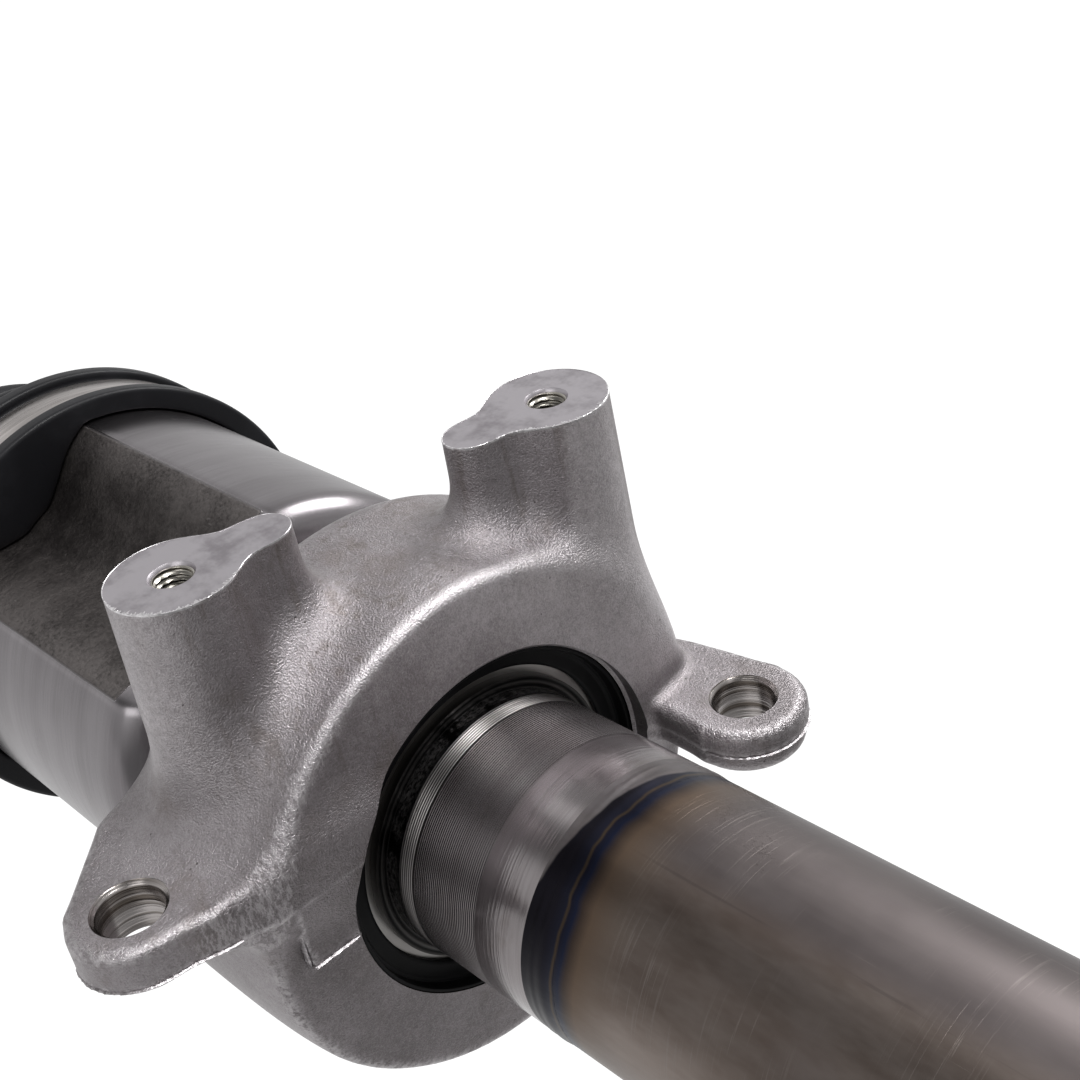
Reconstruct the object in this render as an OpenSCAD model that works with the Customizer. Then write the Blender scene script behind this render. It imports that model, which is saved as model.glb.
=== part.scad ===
// Front axle shaft with an intermediate tube, a centre bearing in a cast bracket,
// an inner tripod joint and an outer ball joint.
// X runs along the shaft, +X inboard. Z is square to the bracket's ears.
// The origin is on the shaft axis, at the middle of the inboard seal journal.

/* [Layout along the shaft] */
// Distance from the seal journal's middle back to the bracket ring's front face
ring_to_journal = 285; // [270:1:320]
// Distance from the tripod's centre to the housing's mouth
tripod_to_mouth = 29; // [27:0.5:31]
// Distance between the two joint centres
joint_spacing = 416; // [380:1:480]

/* [Bracket ring] */
// Outer radius of the ring
ring_r = 47; // [46:0.5:49]
// Length of the ring along the shaft
ring_l = 34; // [32:0.5:37]
// Radius of the ring's front opening
ring_open_r = 30.3; // [29.5:0.1:31]
// Thickness of the lip that stops the bearing
ring_lip = 4.2; // [3.6:0.1:4.8]
// Outer radius of the ring at its front face
ring_front_r = 45.2; // [43.5:0.1:46]
// Rounding of the ring's front edge
ring_front_round = 1.5; // [1:0.5:2]
// Rounding of the ring's back edge
ring_back_round = 5; // [2:0.5:6]

/* [Bracket bosses] */
// Height of the boss tops above the shaft axis
boss_h = 60; // [56:0.5:66]
// Radius of each boss's round end
boss_r = 10; // [9:0.25:11]
// Radius of each boss's tail
boss_tail_r = 4.4; // [3.5:0.1:5]
// Distance from the round end's centre to the tail's centre
boss_tail = 14.8; // [13.5:0.1:16]
// Radius of the hollow waist between round end and tail
boss_waist_r = 7.5; // [7:0.5:9]
// How far each boss's wall leans out from its top to its foot
boss_draft = 0.9; // [0.5:0.1:1]
// Radius of the fillet at each boss's foot
boss_fillet = 6; // [3:0.5:6]
// Left boss, behind the ring's front face
boss_left_back = 20.3; // [17:0.1:23]
// Left boss, distance from the shaft's middle plane
boss_left_side = 32.4; // [30:0.1:34]
// Right boss, behind the ring's front face
boss_right_back = 10.6; // [10:0.1:13]
// Right boss, distance from the shaft's middle plane
boss_right_side = 32.6; // [30:0.1:34]
// Core radius of the bosses' threaded holes
boss_hole_r = 2.5; // [2:0.1:3.3]
// Depth of the bosses' threaded holes
boss_hole_depth = 16; // [10:0.5:18]

/* [Bracket ears] */
// Thickness of the ears
ear_t = 8.8; // [7:0.1:11]
// Radius of the ears' bolt holes
ear_hole_r = 5.25; // [4.5:0.05:5.6]
// Width of the chamfer round the bolt holes
ear_chamfer = 0.65; // [0.3:0.05:1]
// Rounding of the ears' edges
ear_round = 1.6; // [0.8:0.1:2]
// Height of the mould's parting line above each ear's bottom face
ear_parting = 2.4; // [2:0.1:4]
// Left ear: height of its top face
ear_left_top = 20.2; // [18:0.1:22]
// Left ear: bolt hole behind the ring's front face
ear_left_back = 12.5; // [11:0.1:14]
// Left ear: bolt hole's distance from the shaft's middle plane
ear_left_side = 58; // [56:0.1:61]
// Left ear: radius of its round end
ear_left_r = 9.7; // [9:0.1:11]
// Right ear: height of its top face
ear_right_top = 5; // [4:0.1:6]
// Right ear: bolt hole in front of the ring's front face
ear_right_front = 14.8; // [13:0.1:17]
// Right ear: bolt hole's distance from the shaft's middle plane
ear_right_side = 42.6; // [42:0.1:44]
// Right ear: radius of its round end
ear_right_r = 10.7; // [10:0.1:11.5]

/* [Centre bearing] */
// Bore radius of the bearing
bearing_bore_r = 22.5; // [22.5:0.1:22.5]
// Outer radius of the bearing
bearing_r = 37.5; // [37:0.1:38]
// Width of the bearing
bearing_w = 16; // [15:0.5:17]
// Radius of the bearing's balls
bearing_ball_r = 4.36; // [4.2:0.02:4.5]
// Number of balls in the bearing
bearing_ball_n = 12; // [9:1:13]
// Radial play of the balls in their races
bearing_play = 0.04; // [0.02:0.01:0.06]
// Height of each race's shoulder above the ball circle
race_gap = 2.8; // [2.4:0.1:3]
// Thickness of the bearing's seals
seal_t = 1.2; // [0.8:0.1:1.5]
// Thickness of the ring that holds the bearing in the bracket
snap_ring_t = 1.9; // [1.5:0.1:2.2]
// Depth of that ring's groove
snap_ring_depth = 1.9; // [1.2:0.1:2.2]

/* [Intermediate shaft] */
// Radius of the tube
tube_r = 22.4; // [22:0.1:22.4]
// Wall of the tube
tube_wall = 4; // [3:0.1:5]
// Length of the machined stem in front of the ring
stem_front = 28; // [24:0.5:32]
// Length of each weld's band
weld_l = 6.5; // [4:0.5:8]
// Length of the tube
tube_l = 190; // [170:1:210]
// Radius of the turned grooves' bottoms under the stem's surface
turned_depth = 0.15; // [0.1:0.05:0.3]
// Number of turned grooves
turned_n = 8; // [4:1:10]
// Thickness of the circlip that holds the bearing on the stem
circlip_t = 1.75; // [1.5:0.05:2]
// Outer radius of that circlip
circlip_r = 24.6; // [24.2:0.1:25]
// Outer radius of the dust shield behind the bearing
shield_r = 36.8; // [34:0.1:37]

/* [Inboard end] */
// Radius of the seal journal
journal_r = 17.5; // [16.5:0.1:18.5]
// Length of the seal journal
journal_l = 25; // [20:0.5:30]
// Outer radius of the inboard splines
inboard_spline_r = 15; // [14:0.1:15.5]
// Length of the inboard splines
inboard_spline_l = 40; // [34:0.5:44]
// Number of inboard spline teeth
inboard_spline_n = 28; // [24:1:30]

/* [Tripod housing] */
// Radius over the housing's lobes
lobe_r = 40.65; // [40:0.05:42]
// Angle of the first lobe, from +Y towards +Z
lobe_angle = 56.5; // [50:0.5:60]
// Radius of the hollows between the lobes, at their middle
hollow_r = 29; // [28.6:0.1:30]
// Radius of the circle on which the rollers run
track_circle_r = 25; // [24.5:0.1:25.5]
// Radius of each roller
roller_r = 17; // [16.5:0.1:17.2]
// Side play of a roller in its track
track_play = 1; // [0.9:0.05:1.1]
// Radius of the cavity over the tracks' outer walls
cavity_r = 35.6; // [35.4:0.1:36]
// Radius of the cavity between the tracks
cavity_core_r = 24; // [24:0.1:24.4]
// Distance from the ring's front face to the housing's closed end
housing_start = 49; // [46:0.5:50]
// Thickness of the housing's closed end
housing_base = 12; // [9:0.5:13]
// Length of the housing
housing_l = 84; // [82:0.5:90]
// Chamfer at the cavity's mouth
mouth_chamfer = 3; // [2.6:0.1:3.4]

/* [Tripod] */
// Half width of each roller
roller_half = 6; // [5.5:0.1:6]
// Radius of the spider's trunnions
trunnion_r = 8.5; // [8:0.1:9]
// Radius of the needle rollers
needle_r = 1.25; // [1:0.05:1.4]
// Number of needle rollers on a trunnion
needle_n = 22; // [18:1:23]
// Radial running clearance of needles and journals
run_play = 0.03; // [0.02:0.01:0.05]
// Radius of the spider's hub
hub_r = 17.5; // [17:0.1:18]
// Width of the spider's hub
hub_w = 22; // [20:0.5:23]

/* [Axle bar] */
// Radius of the bar's middle
bar_r = 13.5; // [13:0.1:14.5]
// Radius of the bar's necks at both joints
bar_neck_r = 11.4; // [11:0.1:11.5]
// Outer radius of the bar's splines
bar_spline_r = 12.5; // [12.3:0.1:12.8]
// Number of the bar's spline teeth
bar_spline_n = 24; // [20:1:27]
// Depth of all spline teeth
spline_depth = 1.3; // [1:0.1:1.5]
// Clearance of a splined fit, all round
spline_play = 0.05; // [0.03:0.01:0.08]
// Length of each neck beyond its joint
neck_l = 62; // [55:1:70]

/* [Outer joint] */
// Radius of the circle of ball centres
ball_circle_r = 30; // [29.8:0.1:30.4]
// Radius of the drive balls
ball_r = 8.73; // [8.6:0.01:8.8]
// Number of drive balls
ball_n = 6; // [6:1:6]
// Play of a ball in its track
ball_play = 1; // [0.9:0.05:1.1]
// Offset of the track centres from the joint centre
track_offset = 2; // [1:0.5:2.5]
// Radius of the sphere inside the cage
cage_in_r = 27; // [26.8:0.1:27.2]
// Radius of the sphere outside the cage
cage_out_r = 33; // [32.8:0.1:33.2]
// Half width of the cage
cage_half = 14.5; // [14:0.1:15]
// Half width of the inner race
race_half = 11; // [10:0.1:12]
// Radius of the bell
bell_r = 45.5; // [45:0.1:47]
// Distance from the joint centre to the bell's mouth
bell_mouth = 22; // [21:0.1:23]
// Distance from the joint centre to the shoulder that meets the hub
bell_shoulder = 46; // [45:0.5:50]
// Radius of that shoulder
shoulder_r = 30; // [28:0.5:32]
// Outer radius of the hub splines
hub_spline_r = 13.5; // [13:0.1:14]
// Number of hub spline teeth
hub_spline_n = 26; // [22:1:28]
// Length of the hub splines
hub_spline_l = 42; // [36:0.5:46]
// Radius of the stub's thread
thread_r = 11; // [10:0.1:11.5]
// Length of the stub's thread
thread_l = 24; // [20:0.5:28]

/* [Boots and clamps] */
// Wall of both boots
boot_wall = 2.2; // [1.8:0.1:2.6]
// Gap between a boot and the piece it fits on
boot_gap = 0.3; // [0.25:0.05:0.4]
// Length of the housing's mouth that the inner boot covers
boot_over = 15.2; // [14:0.2:17]
// Length of each boot's large collar
collar_l = 20; // [18:0.5:22]
// Height of the ribs on each side of a clamp
rib_h = 2.4; // [1.8:0.1:3]
// Width of each rib
rib_w = 4; // [3:0.1:5]
// Number of folds of the inner boot
inner_folds = 5; // [4:1:6]
// Number of folds of the outer boot
outer_folds = 5; // [4:1:6]
// Length of the inner boot's folded part
inner_boot_l = 84; // [78:1:92]
// Length of the outer boot's folded part
outer_boot_l = 72; // [66:1:80]
// Depth of a fold
fold_depth = 7; // [5:0.5:8]
// Width of the clamp bands
clamp_w = 9; // [8:0.5:10]
// Thickness of the clamp bands
clamp_t = 0.8; // [0.6:0.1:1]

/* [Hidden] */
$fn = 96;
eps = 0.01;

// Places along the shaft, counted from the ring's front face
bearing_front = -ring_lip - 0.2;
bearing_back = bearing_front - bearing_w;
housing_end = -housing_start - housing_l;
tripod_x = housing_end + tripod_to_mouth;
outer_x = tripod_x - joint_spacing;
boot_start = -housing_end - boot_over;
tube_start = stem_front + weld_l;
tube_end = tube_start + tube_l;
stub_start = tube_end + weld_l;
journal_x = ring_to_journal;
stub_spline_start = journal_x + journal_l / 2 + 8;
stub_end = stub_spline_start + inboard_spline_l + 5;
bar_in_end = tripod_x + hub_w / 2 + 4;
bar_out_end = outer_x - race_half - 4;

// Sizes that follow from the ones above
ball_track_r = bearing_ball_r + bearing_play;
bearing_pitch_r = (bearing_bore_r + bearing_r) / 2;
shoulder_in_r = bearing_pitch_r - race_gap;
shoulder_out_r = bearing_pitch_r + race_gap;
stem_shoulder_r = 26;
tube_in_r = tube_r - tube_wall;
track_r = roller_r + track_play;
lobe_wall = 4.5;
roller_bore_r = trunnion_r + 2 * run_play + 2 * needle_r;
retainer_t = 1;
retainer_in = track_circle_r + roller_half + 0.3;
trunnion_end = retainer_in + retainer_t + 0.6;
drive_track_r = ball_r + ball_play;
drive_arc_r = sqrt(ball_circle_r * ball_circle_r + track_offset * track_offset);
cage_play = 0.1;
folds_half_gap = boot_wall / 2;
rib_r = lobe_r + boot_gap + boot_wall + rib_h;
clamp_mid = -boot_start - collar_l / 2;

steel = [0.62, 0.61, 0.59];
dark_steel = [0.36, 0.35, 0.34];
cast = [0.72, 0.71, 0.71];
rubber = [0.08, 0.08, 0.085];
band = [0.8, 0.8, 0.8];

// Points of an arc of radius r about c, from angle a0 to a1 in n steps
function arc(c, r, a0, a1, n) =
    [for (i = [0 : n]) let (a = a0 + (a1 - a0) * i / n) [c[0] + r * cos(a), c[1] + r * sin(a)]];

// The same without its last point, where the next arc starts
function open_arc(c, r, a0, a1, n) =
    [for (i = [0 : n - 1]) let (a = a0 + (a1 - a0) * i / n) [c[0] + r * cos(a), c[1] + r * sin(a)]];

// Angle at the corner between sides p and q of a triangle with the third side s
function corner(p, q, s) = acos((p * p + q * q - s * s) / (2 * p * q));

// Puts children, drawn from the ring's front face, into the part's frame
module from_ring(x = 0) {
    translate([x - ring_to_journal, 0, 0]) children();
}

// A solid of revolution about the shaft axis; each point is [distance along +X, radius]
module turned(points) {
    rotate([0, 90, 0]) rotate_extrude() polygon([for (p = points) [p[1], p[0]]]);
}

// A tube about the shaft axis from x0 to x1
module sleeve(x0, x1, r_in, r_out) {
    turned([[x0, r_in], [x1, r_in], [x1, r_out], [x0, r_out]]);
}

// A sphere whose poles lie on the shaft axis
module ball_about_shaft(r) {
    rotate([0, 90, 0]) sphere(r = r);
}

// A flat outline in the plane across the shaft, from +Y towards +Z, made l long towards +X
module across(l) {
    rotate([90, 0, 90]) linear_extrude(l) children();
}

// Section of a splined shaft of n teeth; grow makes the matching bore
module spline_outline(r, n, grow = 0) {
    pitch = 360 / n;
    tip = pitch * 0.16;
    root = pitch * 0.34;
    polygon([for (i = [0 : n - 1], p = [[-root, r - spline_depth], [-tip, r], [tip, r], [root, r - spline_depth]])
        let (a = i * pitch + p[0] + sign(p[0]) * grow * 57.3 / r, q = p[1] + grow) [q * cos(a), q * sin(a)]]);
}

// A splined length from x0 to x1 with chamfered ends
module splined(x0, x1, r, n) {
    intersection() {
        translate([x0, 0, 0]) across(x1 - x0) spline_outline(r, n);
        turned([[x0, 0], [x1, 0], [x1, r - 1.4], [x1 - 1.5, r + 0.1], [x0 + 1.5, r + 0.1], [x0, r - 1.4]]);
    }
}

// Open spring ring about the shaft axis with two lugs; ins points the lugs inwards
module lug_ring(x0, t, r_in, r_out, gap, ins) {
    lug = 3.2;
    lug_at = ins ? r_in - lug * 0.45 : r_out + lug * 0.45;
    difference() {
        union() {
            rotate([0, 90, 0]) rotate([0, 0, gap / 2]) translate([0, 0, x0])
                rotate_extrude(angle = 360 - gap) translate([r_in, 0]) square([r_out - r_in, t]);
            for (s = [-1, 1])
                rotate([s * (gap / 2 + 3), 0, 0]) translate([x0, 0, -lug_at]) rotate([0, 90, 0]) cylinder(r = lug, h = t);
        }
        for (s = [-1, 1])
            rotate([s * (gap / 2 + 3), 0, 0]) translate([x0 - 1, 0, -lug_at]) rotate([0, 90, 0])
                cylinder(r = 1.3, h = t + 2);
    }
}

// Boss outline: a round end at the origin, a tail on +X and a hollow waist between them
function boss_points(r, tail_r, d, waist_r) =
    let (a = corner(d, r + waist_r, tail_r + waist_r),
        b = corner(d, tail_r + waist_r, r + waist_r),
        up = [(r + waist_r) * cos(a), (r + waist_r) * sin(a)])
    concat(open_arc([0, 0], r, a, 360 - a, 32),
        open_arc([up[0], -up[1]], waist_r, 180 - a, b, 5),
        open_arc([d, 0], tail_r, b - 180, 180 - b, 11),
        open_arc(up, waist_r, -b, a - 180, 5));

// Outline of a boss turned and set at its place, all round wider by grow
function boss_ring(at, turn, grow) =
    [for (p = boss_points(boss_r + grow, boss_tail_r + grow, boss_tail, boss_waist_r - grow))
        [at[0] + p[0] * cos(turn) - p[1] * sin(turn), at[1] + p[0] * sin(turn) + p[1] * cos(turn)]];

// Height of what a boss stands on: the ring's outside and the ear's top face, with a soft hollow between them
function stand(y, ear_top) =
    let (ring_z = sqrt(max(0, ring_r * ring_r - y * y)))
    (ear_top + ring_z + sqrt((ear_top - ring_z) * (ear_top - ring_z) + 12)) / 2;

// Solid between rings of as many points each, the first one lowest
module skin(rings) {
    n = len(rings[0]);
    last = len(rings) - 1;
    polyhedron(points = [for (r = rings, p = r) p],
        faces = concat([[for (i = [0 : n - 1]) i]], [[for (i = [n - 1 : -1 : 0]) last * n + i]],
            [for (j = [0 : last - 1], i = [0 : n - 1]) let (a = j * n + i, b = j * n + (i + 1) % n) [a, a + n, b + n]],
            [for (j = [0 : last - 1], i = [0 : n - 1]) let (a = j * n + i, b = j * n + (i + 1) % n) [a, b + n, b]]));
}

// One boss, leaning out towards its foot, with a fillet that follows the ring and the ear's top face
module boss(at, turn, ear_top) {
    steps = 6;
    sink = 3;
    foot = boss_ring(at, turn, boss_draft + boss_fillet);
    rings = concat([[for (p = foot) [p[0], p[1], ear_top - ear_t / 2]]],
        [for (j = [0 : steps]) let (a = 90 * j / steps)
            [for (p = boss_ring(at, turn, boss_draft + boss_fillet * (1 - sin(a))))
                [p[0], p[1], stand(p[1], ear_top) - sink + (boss_fillet + sink) * (1 - cos(a))]]],
        [[for (p = boss_ring(at, turn, 0)) [p[0], p[1], boss_h]]]);
    intersection() {
        skin(rings);
        translate([-ring_l, -2 * ring_r, -ring_r]) cube([ring_l, 3 * ring_r - 1, 4 * ring_r]);
    }
}

// Threaded hole's core with its countersink
module boss_hole(at) {
    translate([at[0], at[1], boss_h - boss_hole_depth]) cylinder(r = boss_hole_r, h = boss_hole_depth + 1);
    translate([at[0], at[1], boss_h - 1]) cylinder(r1 = boss_hole_r, r2 = boss_hole_r + 1.05, h = 1.05);
}

// Bolt hole through an ear whose top face is at top
module ear_hole(at, top) {
    translate([at[0], at[1], top - ear_t - 1]) cylinder(r = ear_hole_r, h = ear_t + 2);
    translate([at[0], at[1], top - ear_chamfer]) cylinder(r1 = ear_hole_r, r2 = ear_hole_r + ear_chamfer + 0.1, h = ear_chamfer + 0.1);
}

left_boss = [-boss_left_back, -boss_left_side];
right_boss = [-boss_right_back, boss_right_side];
left_ear = [-ear_left_back, -ear_left_side];
right_ear = [ear_right_front, ear_right_side];

// Blank of the ring: it narrows towards its front face, and both edges are rounded
module ring_blank() {
    turned(concat([[0, ring_open_r], [-ring_l, ring_open_r]],
        arc([-ring_l + ring_back_round, ring_r - ring_back_round], ring_back_round, 180, 90, 8),
        [[-ring_l / 2, ring_r], [-ring_l / 4, ring_r - 0.5]],
        arc([-ring_front_round, ring_front_r - ring_front_round], ring_front_round, 75, 0, 6)));
}

// Left ear's outline, all round narrower by s: its back corner is cut, its front edge is square to the shaft
function left_ear_outline(s) =
    let (c = left_ear, r = ear_left_r - s)
    concat([[-ring_l + s, c[1] + 28], [-ring_l + s, c[1] + 7]], arc(c, r, 225, 348, 18),
        [[-1 - s, c[1] + 7.4], [-1 - s, c[1] + 28]]);

// Right ear's outline, all round narrower by s: it reaches out in front of the ring
function right_ear_outline(s) =
    let (c = right_ear, r = ear_right_r - s)
    concat([[-4, c[1] + 7.8 - s], [-12, c[1] + 5.4 - s], [-ring_l + 8, c[1] + 1 - s], [-ring_l + 8, c[1] - 10], [0, c[1] - r]],
        arc(c, r, -90, 95, 24));

// Ear between bottom and top: drafted both ways from the parting line, with rounded edges; rings run from the bottom up
module ear(shrunk, top) {
    bottom = top - ear_t;
    steps = 4;
    skin(concat([for (j = [0 : steps - 1]) let (a = 90 * j / steps)
            [for (p = shrunk[j]) [p[0], p[1], bottom + ear_round * (1 - cos(a)) * 0.8]]],
        [[for (p = shrunk[steps]) [p[0], p[1], bottom + ear_parting]]],
        [for (j = [0 : steps]) let (a = 90 * j / steps)
            [for (p = shrunk[steps + 1 + j]) [p[0], p[1], top - ear_round * (1 - sin(a))]]]));
}

// How far in the ear's outline lies at each of its rings, from the bottom up
ear_steps = concat([for (j = [0 : 3]) 0.3 + ear_round * 0.8 * (1 - sin(90 * j / 4))], [0],
    [for (j = [0 : 4]) 0.3 + ear_round * (1 - cos(90 * j / 4))]);

module bearing_bracket() {
    color(cast) from_ring() difference() {
        union() {
            ring_blank();
            boss(left_boss, 84, ear_left_top);
            boss(right_boss, -98, ear_right_top);
            ear([for (s = ear_steps) left_ear_outline(s)], ear_left_top);
            ear([for (s = ear_steps) right_ear_outline(s)], ear_right_top);
        }
        sleeve(-ring_l - 30, ring_l + 30, 0, ring_open_r);
        sleeve(-ring_l - 30, -ring_lip, 0, bearing_r);
        sleeve(bearing_back - snap_ring_t - 0.15, bearing_back - 0.05, 0, bearing_r + snap_ring_depth);
        turned([[0 - eps, 0], [0 - eps, ring_open_r], [1, ring_open_r + 1], [30, ring_open_r + 1], [30, 0]]);
        boss_hole(left_boss);
        boss_hole(right_boss);
        ear_hole(left_ear, ear_left_top);
        ear_hole(right_ear, ear_right_top);
    }
}

module bearing_outer_race() {
    color(steel) from_ring(bearing_back) difference() {
        sleeve(0, bearing_w, shoulder_out_r, bearing_r);
        translate([bearing_w / 2, 0, 0]) rotate([0, 90, 0]) rotate_extrude()
            translate([bearing_pitch_r, 0]) circle(r = ball_track_r, $fn = 48);
    }
}

module bearing_inner_race() {
    color(steel) from_ring(bearing_back) difference() {
        sleeve(0, bearing_w, bearing_bore_r, shoulder_in_r);
        translate([bearing_w / 2, 0, 0]) rotate([0, 90, 0]) rotate_extrude()
            translate([bearing_pitch_r, 0]) circle(r = ball_track_r, $fn = 48);
    }
}

module bearing_balls() {
    color(steel) from_ring(bearing_back + bearing_w / 2)
        for (i = [0 : bearing_ball_n - 1])
            rotate([i * 360 / bearing_ball_n, 0, 0]) translate([0, bearing_pitch_r, 0])
                sphere(r = bearing_ball_r, $fn = 48);
}

module bearing_cage() {
    rim = 1.3;
    half = bearing_ball_r * 0.8;
    color(dark_steel) from_ring(bearing_back + bearing_w / 2) difference() {
        sleeve(-half, half, bearing_pitch_r - rim, bearing_pitch_r + rim);
        for (i = [0 : bearing_ball_n - 1])
            rotate([i * 360 / bearing_ball_n, 0, 0]) translate([0, bearing_pitch_r, 0])
                sphere(r = bearing_ball_r + 0.15, $fn = 48);
    }
}

// Seal ring in the gap between the races, from x0 towards +X
module bearing_seal(x0) {
    color(rubber) from_ring(x0)
        turned([[0, shoulder_in_r + 0.3], [seal_t, shoulder_in_r + 0.3], [seal_t, shoulder_out_r], [0, shoulder_out_r]]);
}

module inboard_seal() {
    bearing_seal(bearing_front - 0.5 - seal_t);
}

module outboard_seal() {
    bearing_seal(bearing_back + 0.5);
}

module bracket_snap_ring() {
    color(dark_steel) from_ring()
        lug_ring(bearing_back - snap_ring_t - 0.1, snap_ring_t, bearing_r - 1.6, bearing_r + snap_ring_depth - 0.1, 40, true);
}

module shaft_circlip() {
    t = circlip_t;
    color(dark_steel) from_ring(bearing_front) rotate([0, 90, 0]) rotate([0, 0, 20])
        rotate_extrude(angle = 320) translate([bearing_bore_r - 1.2, 0]) square([circlip_r - bearing_bore_r + 1.2, t]);
}

module dust_shield() {
    color(steel) from_ring(bearing_back)
        turned([[-5, stem_shoulder_r], [-12, stem_shoulder_r], [-12, stem_shoulder_r + 1.2], [-6.2, stem_shoulder_r + 1.2],
            [-6.2, shield_r - 3], [-8, shield_r], [-6.8, shield_r], [-5, shield_r - 3]]);
}

// Outside outline of the housing: three lobes, cut off at radius rim, with hollows between them
function housing_points(grow, rim) =
    let (wall_r = track_r + lobe_wall + grow, floor_r = hollow_r + grow,
        a_rim = corner(rim, track_circle_r, wall_r),
        a_floor = corner(floor_r, track_circle_r, wall_r),
        w0 = atan2(rim * sin(a_rim), rim * cos(a_rim) - track_circle_r),
        w1 = atan2(floor_r * sin(a_floor), floor_r * cos(a_floor) - track_circle_r))
    [for (k = [0 : 2], p = concat(arc([0, 0], rim, -a_rim, a_rim, 16), arc([track_circle_r, 0], wall_r, w0 + 4, w1 - 4, 6),
            arc([0, 0], floor_r, a_floor + 2, 120 - a_floor - 2, 4),
            [for (q = arc([track_circle_r, 0], wall_r, w1 - 4, w0 + 4, 6))
                [q[0] * cos(120) + q[1] * sin(120), q[0] * sin(120) - q[1] * cos(120)]]))
        let (t = lobe_angle + 120 * k) [p[0] * cos(t) - p[1] * sin(t), p[0] * sin(t) + p[1] * cos(t)]];

// The rollers' tracks and the cavity between them, from x0 to x1
module tracks(x0, x1) {
    intersection() {
        translate([x0, 0, 0]) across(x1 - x0) union() {
            circle(r = cavity_core_r);
            for (k = [0 : 2])
                rotate(lobe_angle + 120 * k) translate([track_circle_r, 0]) circle(r = track_r);
        }
        sleeve(x0 - 1, x1 + 1, 0, cavity_r);
    }
}

module tulip_housing() {
    base = -housing_start;
    groove_l = 3.3 / turned_n;
    color(steel) from_ring() difference() {
        union() {
            translate([housing_end, 0, 0]) intersection() {
                across(housing_l) polygon(housing_points(0, lobe_r + 2));
                turned([[0, 0], [housing_l, 0], [housing_l, lobe_r - 3], [housing_l - 2, lobe_r - 0.6],
                    [housing_l - 3.2, lobe_r], [0.6, lobe_r], [0, lobe_r - 0.6]]);
            }
            turned(concat([[base - housing_base / 2, 0], [base - housing_base / 2, hollow_r - 1.5], [base, hollow_r - 1.5],
                [base + 7, stem_shoulder_r], [bearing_back, stem_shoulder_r], [bearing_back, bearing_bore_r],
                [bearing_front, bearing_bore_r], [bearing_front, bearing_bore_r - 1.2],
                [bearing_front + circlip_t, bearing_bore_r - 1.2], [bearing_front + circlip_t, bearing_bore_r],
                [0.3, bearing_bore_r]],
                [for (i = [0 : turned_n - 1], p = [[0.5, turned_depth], [1, 0]])
                    [0.3 + (i + p[0]) * groove_l, bearing_bore_r - p[1]]],
                [[stem_front, bearing_bore_r], [stem_front, 0]]));
        }
        tracks(housing_end - 1, base - housing_base);
        turned([[housing_end - 1, 0], [housing_end - 1, cavity_core_r + mouth_chamfer + 1],
            [housing_end + mouth_chamfer, cavity_core_r], [housing_end + mouth_chamfer, 0]]);
        sleeve(stem_front - 14, stem_front + 1, 0, tube_in_r);
    }
}

module weld_ring_outboard() {
    color(steel) from_ring(stem_front)
        turned([[0, tube_in_r], [weld_l, tube_in_r], [weld_l, tube_r], [weld_l * 0.7, bearing_bore_r], [0, bearing_bore_r]]);
}

module intermediate_tube() {
    color(dark_steel) from_ring() sleeve(tube_start, tube_end, tube_in_r, tube_r);
}

module weld_ring_inboard() {
    color(dark_steel) from_ring(tube_end)
        turned([[0, tube_in_r], [weld_l, tube_in_r], [weld_l, tube_r], [weld_l / 2, tube_r + 0.4], [0, tube_r]]);
}

module inboard_stub() {
    groove = stub_end - 6;
    j0 = journal_x - journal_l / 2;
    j1 = journal_x + journal_l / 2;
    neck = inboard_spline_r - spline_depth - 0.3;
    color(steel) from_ring() union() {
        turned([[stub_start, tube_in_r], [stub_start + 10, tube_in_r], [stub_start + 16, 0], [j1 + 2, 0],
            [j1 + 2, inboard_spline_r + 0.8], [j1, journal_r], [j0, journal_r], [j0 - 4, journal_r + 1.5],
            [stub_start + 16, tube_r], [stub_start, tube_r]]);
        turned([[j1 + 1, 0], [stub_spline_start + 1, 0], [stub_spline_start + 1, neck], [j1 + 1, neck]]);
        difference() {
            splined(stub_spline_start, stub_end, inboard_spline_r, inboard_spline_n);
            sleeve(groove, groove + 2, inboard_spline_r - 2, inboard_spline_r + 2);
        }
    }
}

module inboard_snap_ring() {
    wire = 0.9;
    color(dark_steel) from_ring(stub_end - 5) rotate([0, 90, 0]) rotate([0, 0, 15])
        rotate_extrude(angle = 330) translate([inboard_spline_r - 2 + wire + 0.02, 0]) circle(r = wire, $fn = 24);
}

// Clamp band of inner radius r round the shaft axis, with its crimped ear on the far side
module clamp_band(mid, r) {
    ear_w = 7;
    ear_h = 4;
    color(band) from_ring(mid) union() {
        sleeve(-clamp_w / 2, clamp_w / 2, r, r + clamp_t);
        rotate([-115, 0, 0]) difference() {
            translate([-clamp_w / 2 + 1, -ear_w / 2, r + clamp_t / 2]) cube([clamp_w - 2, ear_w, ear_h]);
            translate([-clamp_w, -ear_w / 2 + clamp_t, r + clamp_t / 2 - 1]) cube([clamp_w * 2, ear_w - 2 * clamp_t, ear_h + 1 - clamp_t]);
        }
    }
}

module inner_boot_large_clamp() {
    clamp_band(clamp_mid, lobe_r + boot_gap + boot_wall + boot_gap);
}

// Radius of the middle of a boot's wall, t from 0 to 1, over n folds from r0 to r1
function fold_r(t, n, r0, r1) = r0 + (r1 - r0) * t - fold_depth / 2 * (1 - cos(360 * n * t)) * (1 - 0.35 * t);

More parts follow.
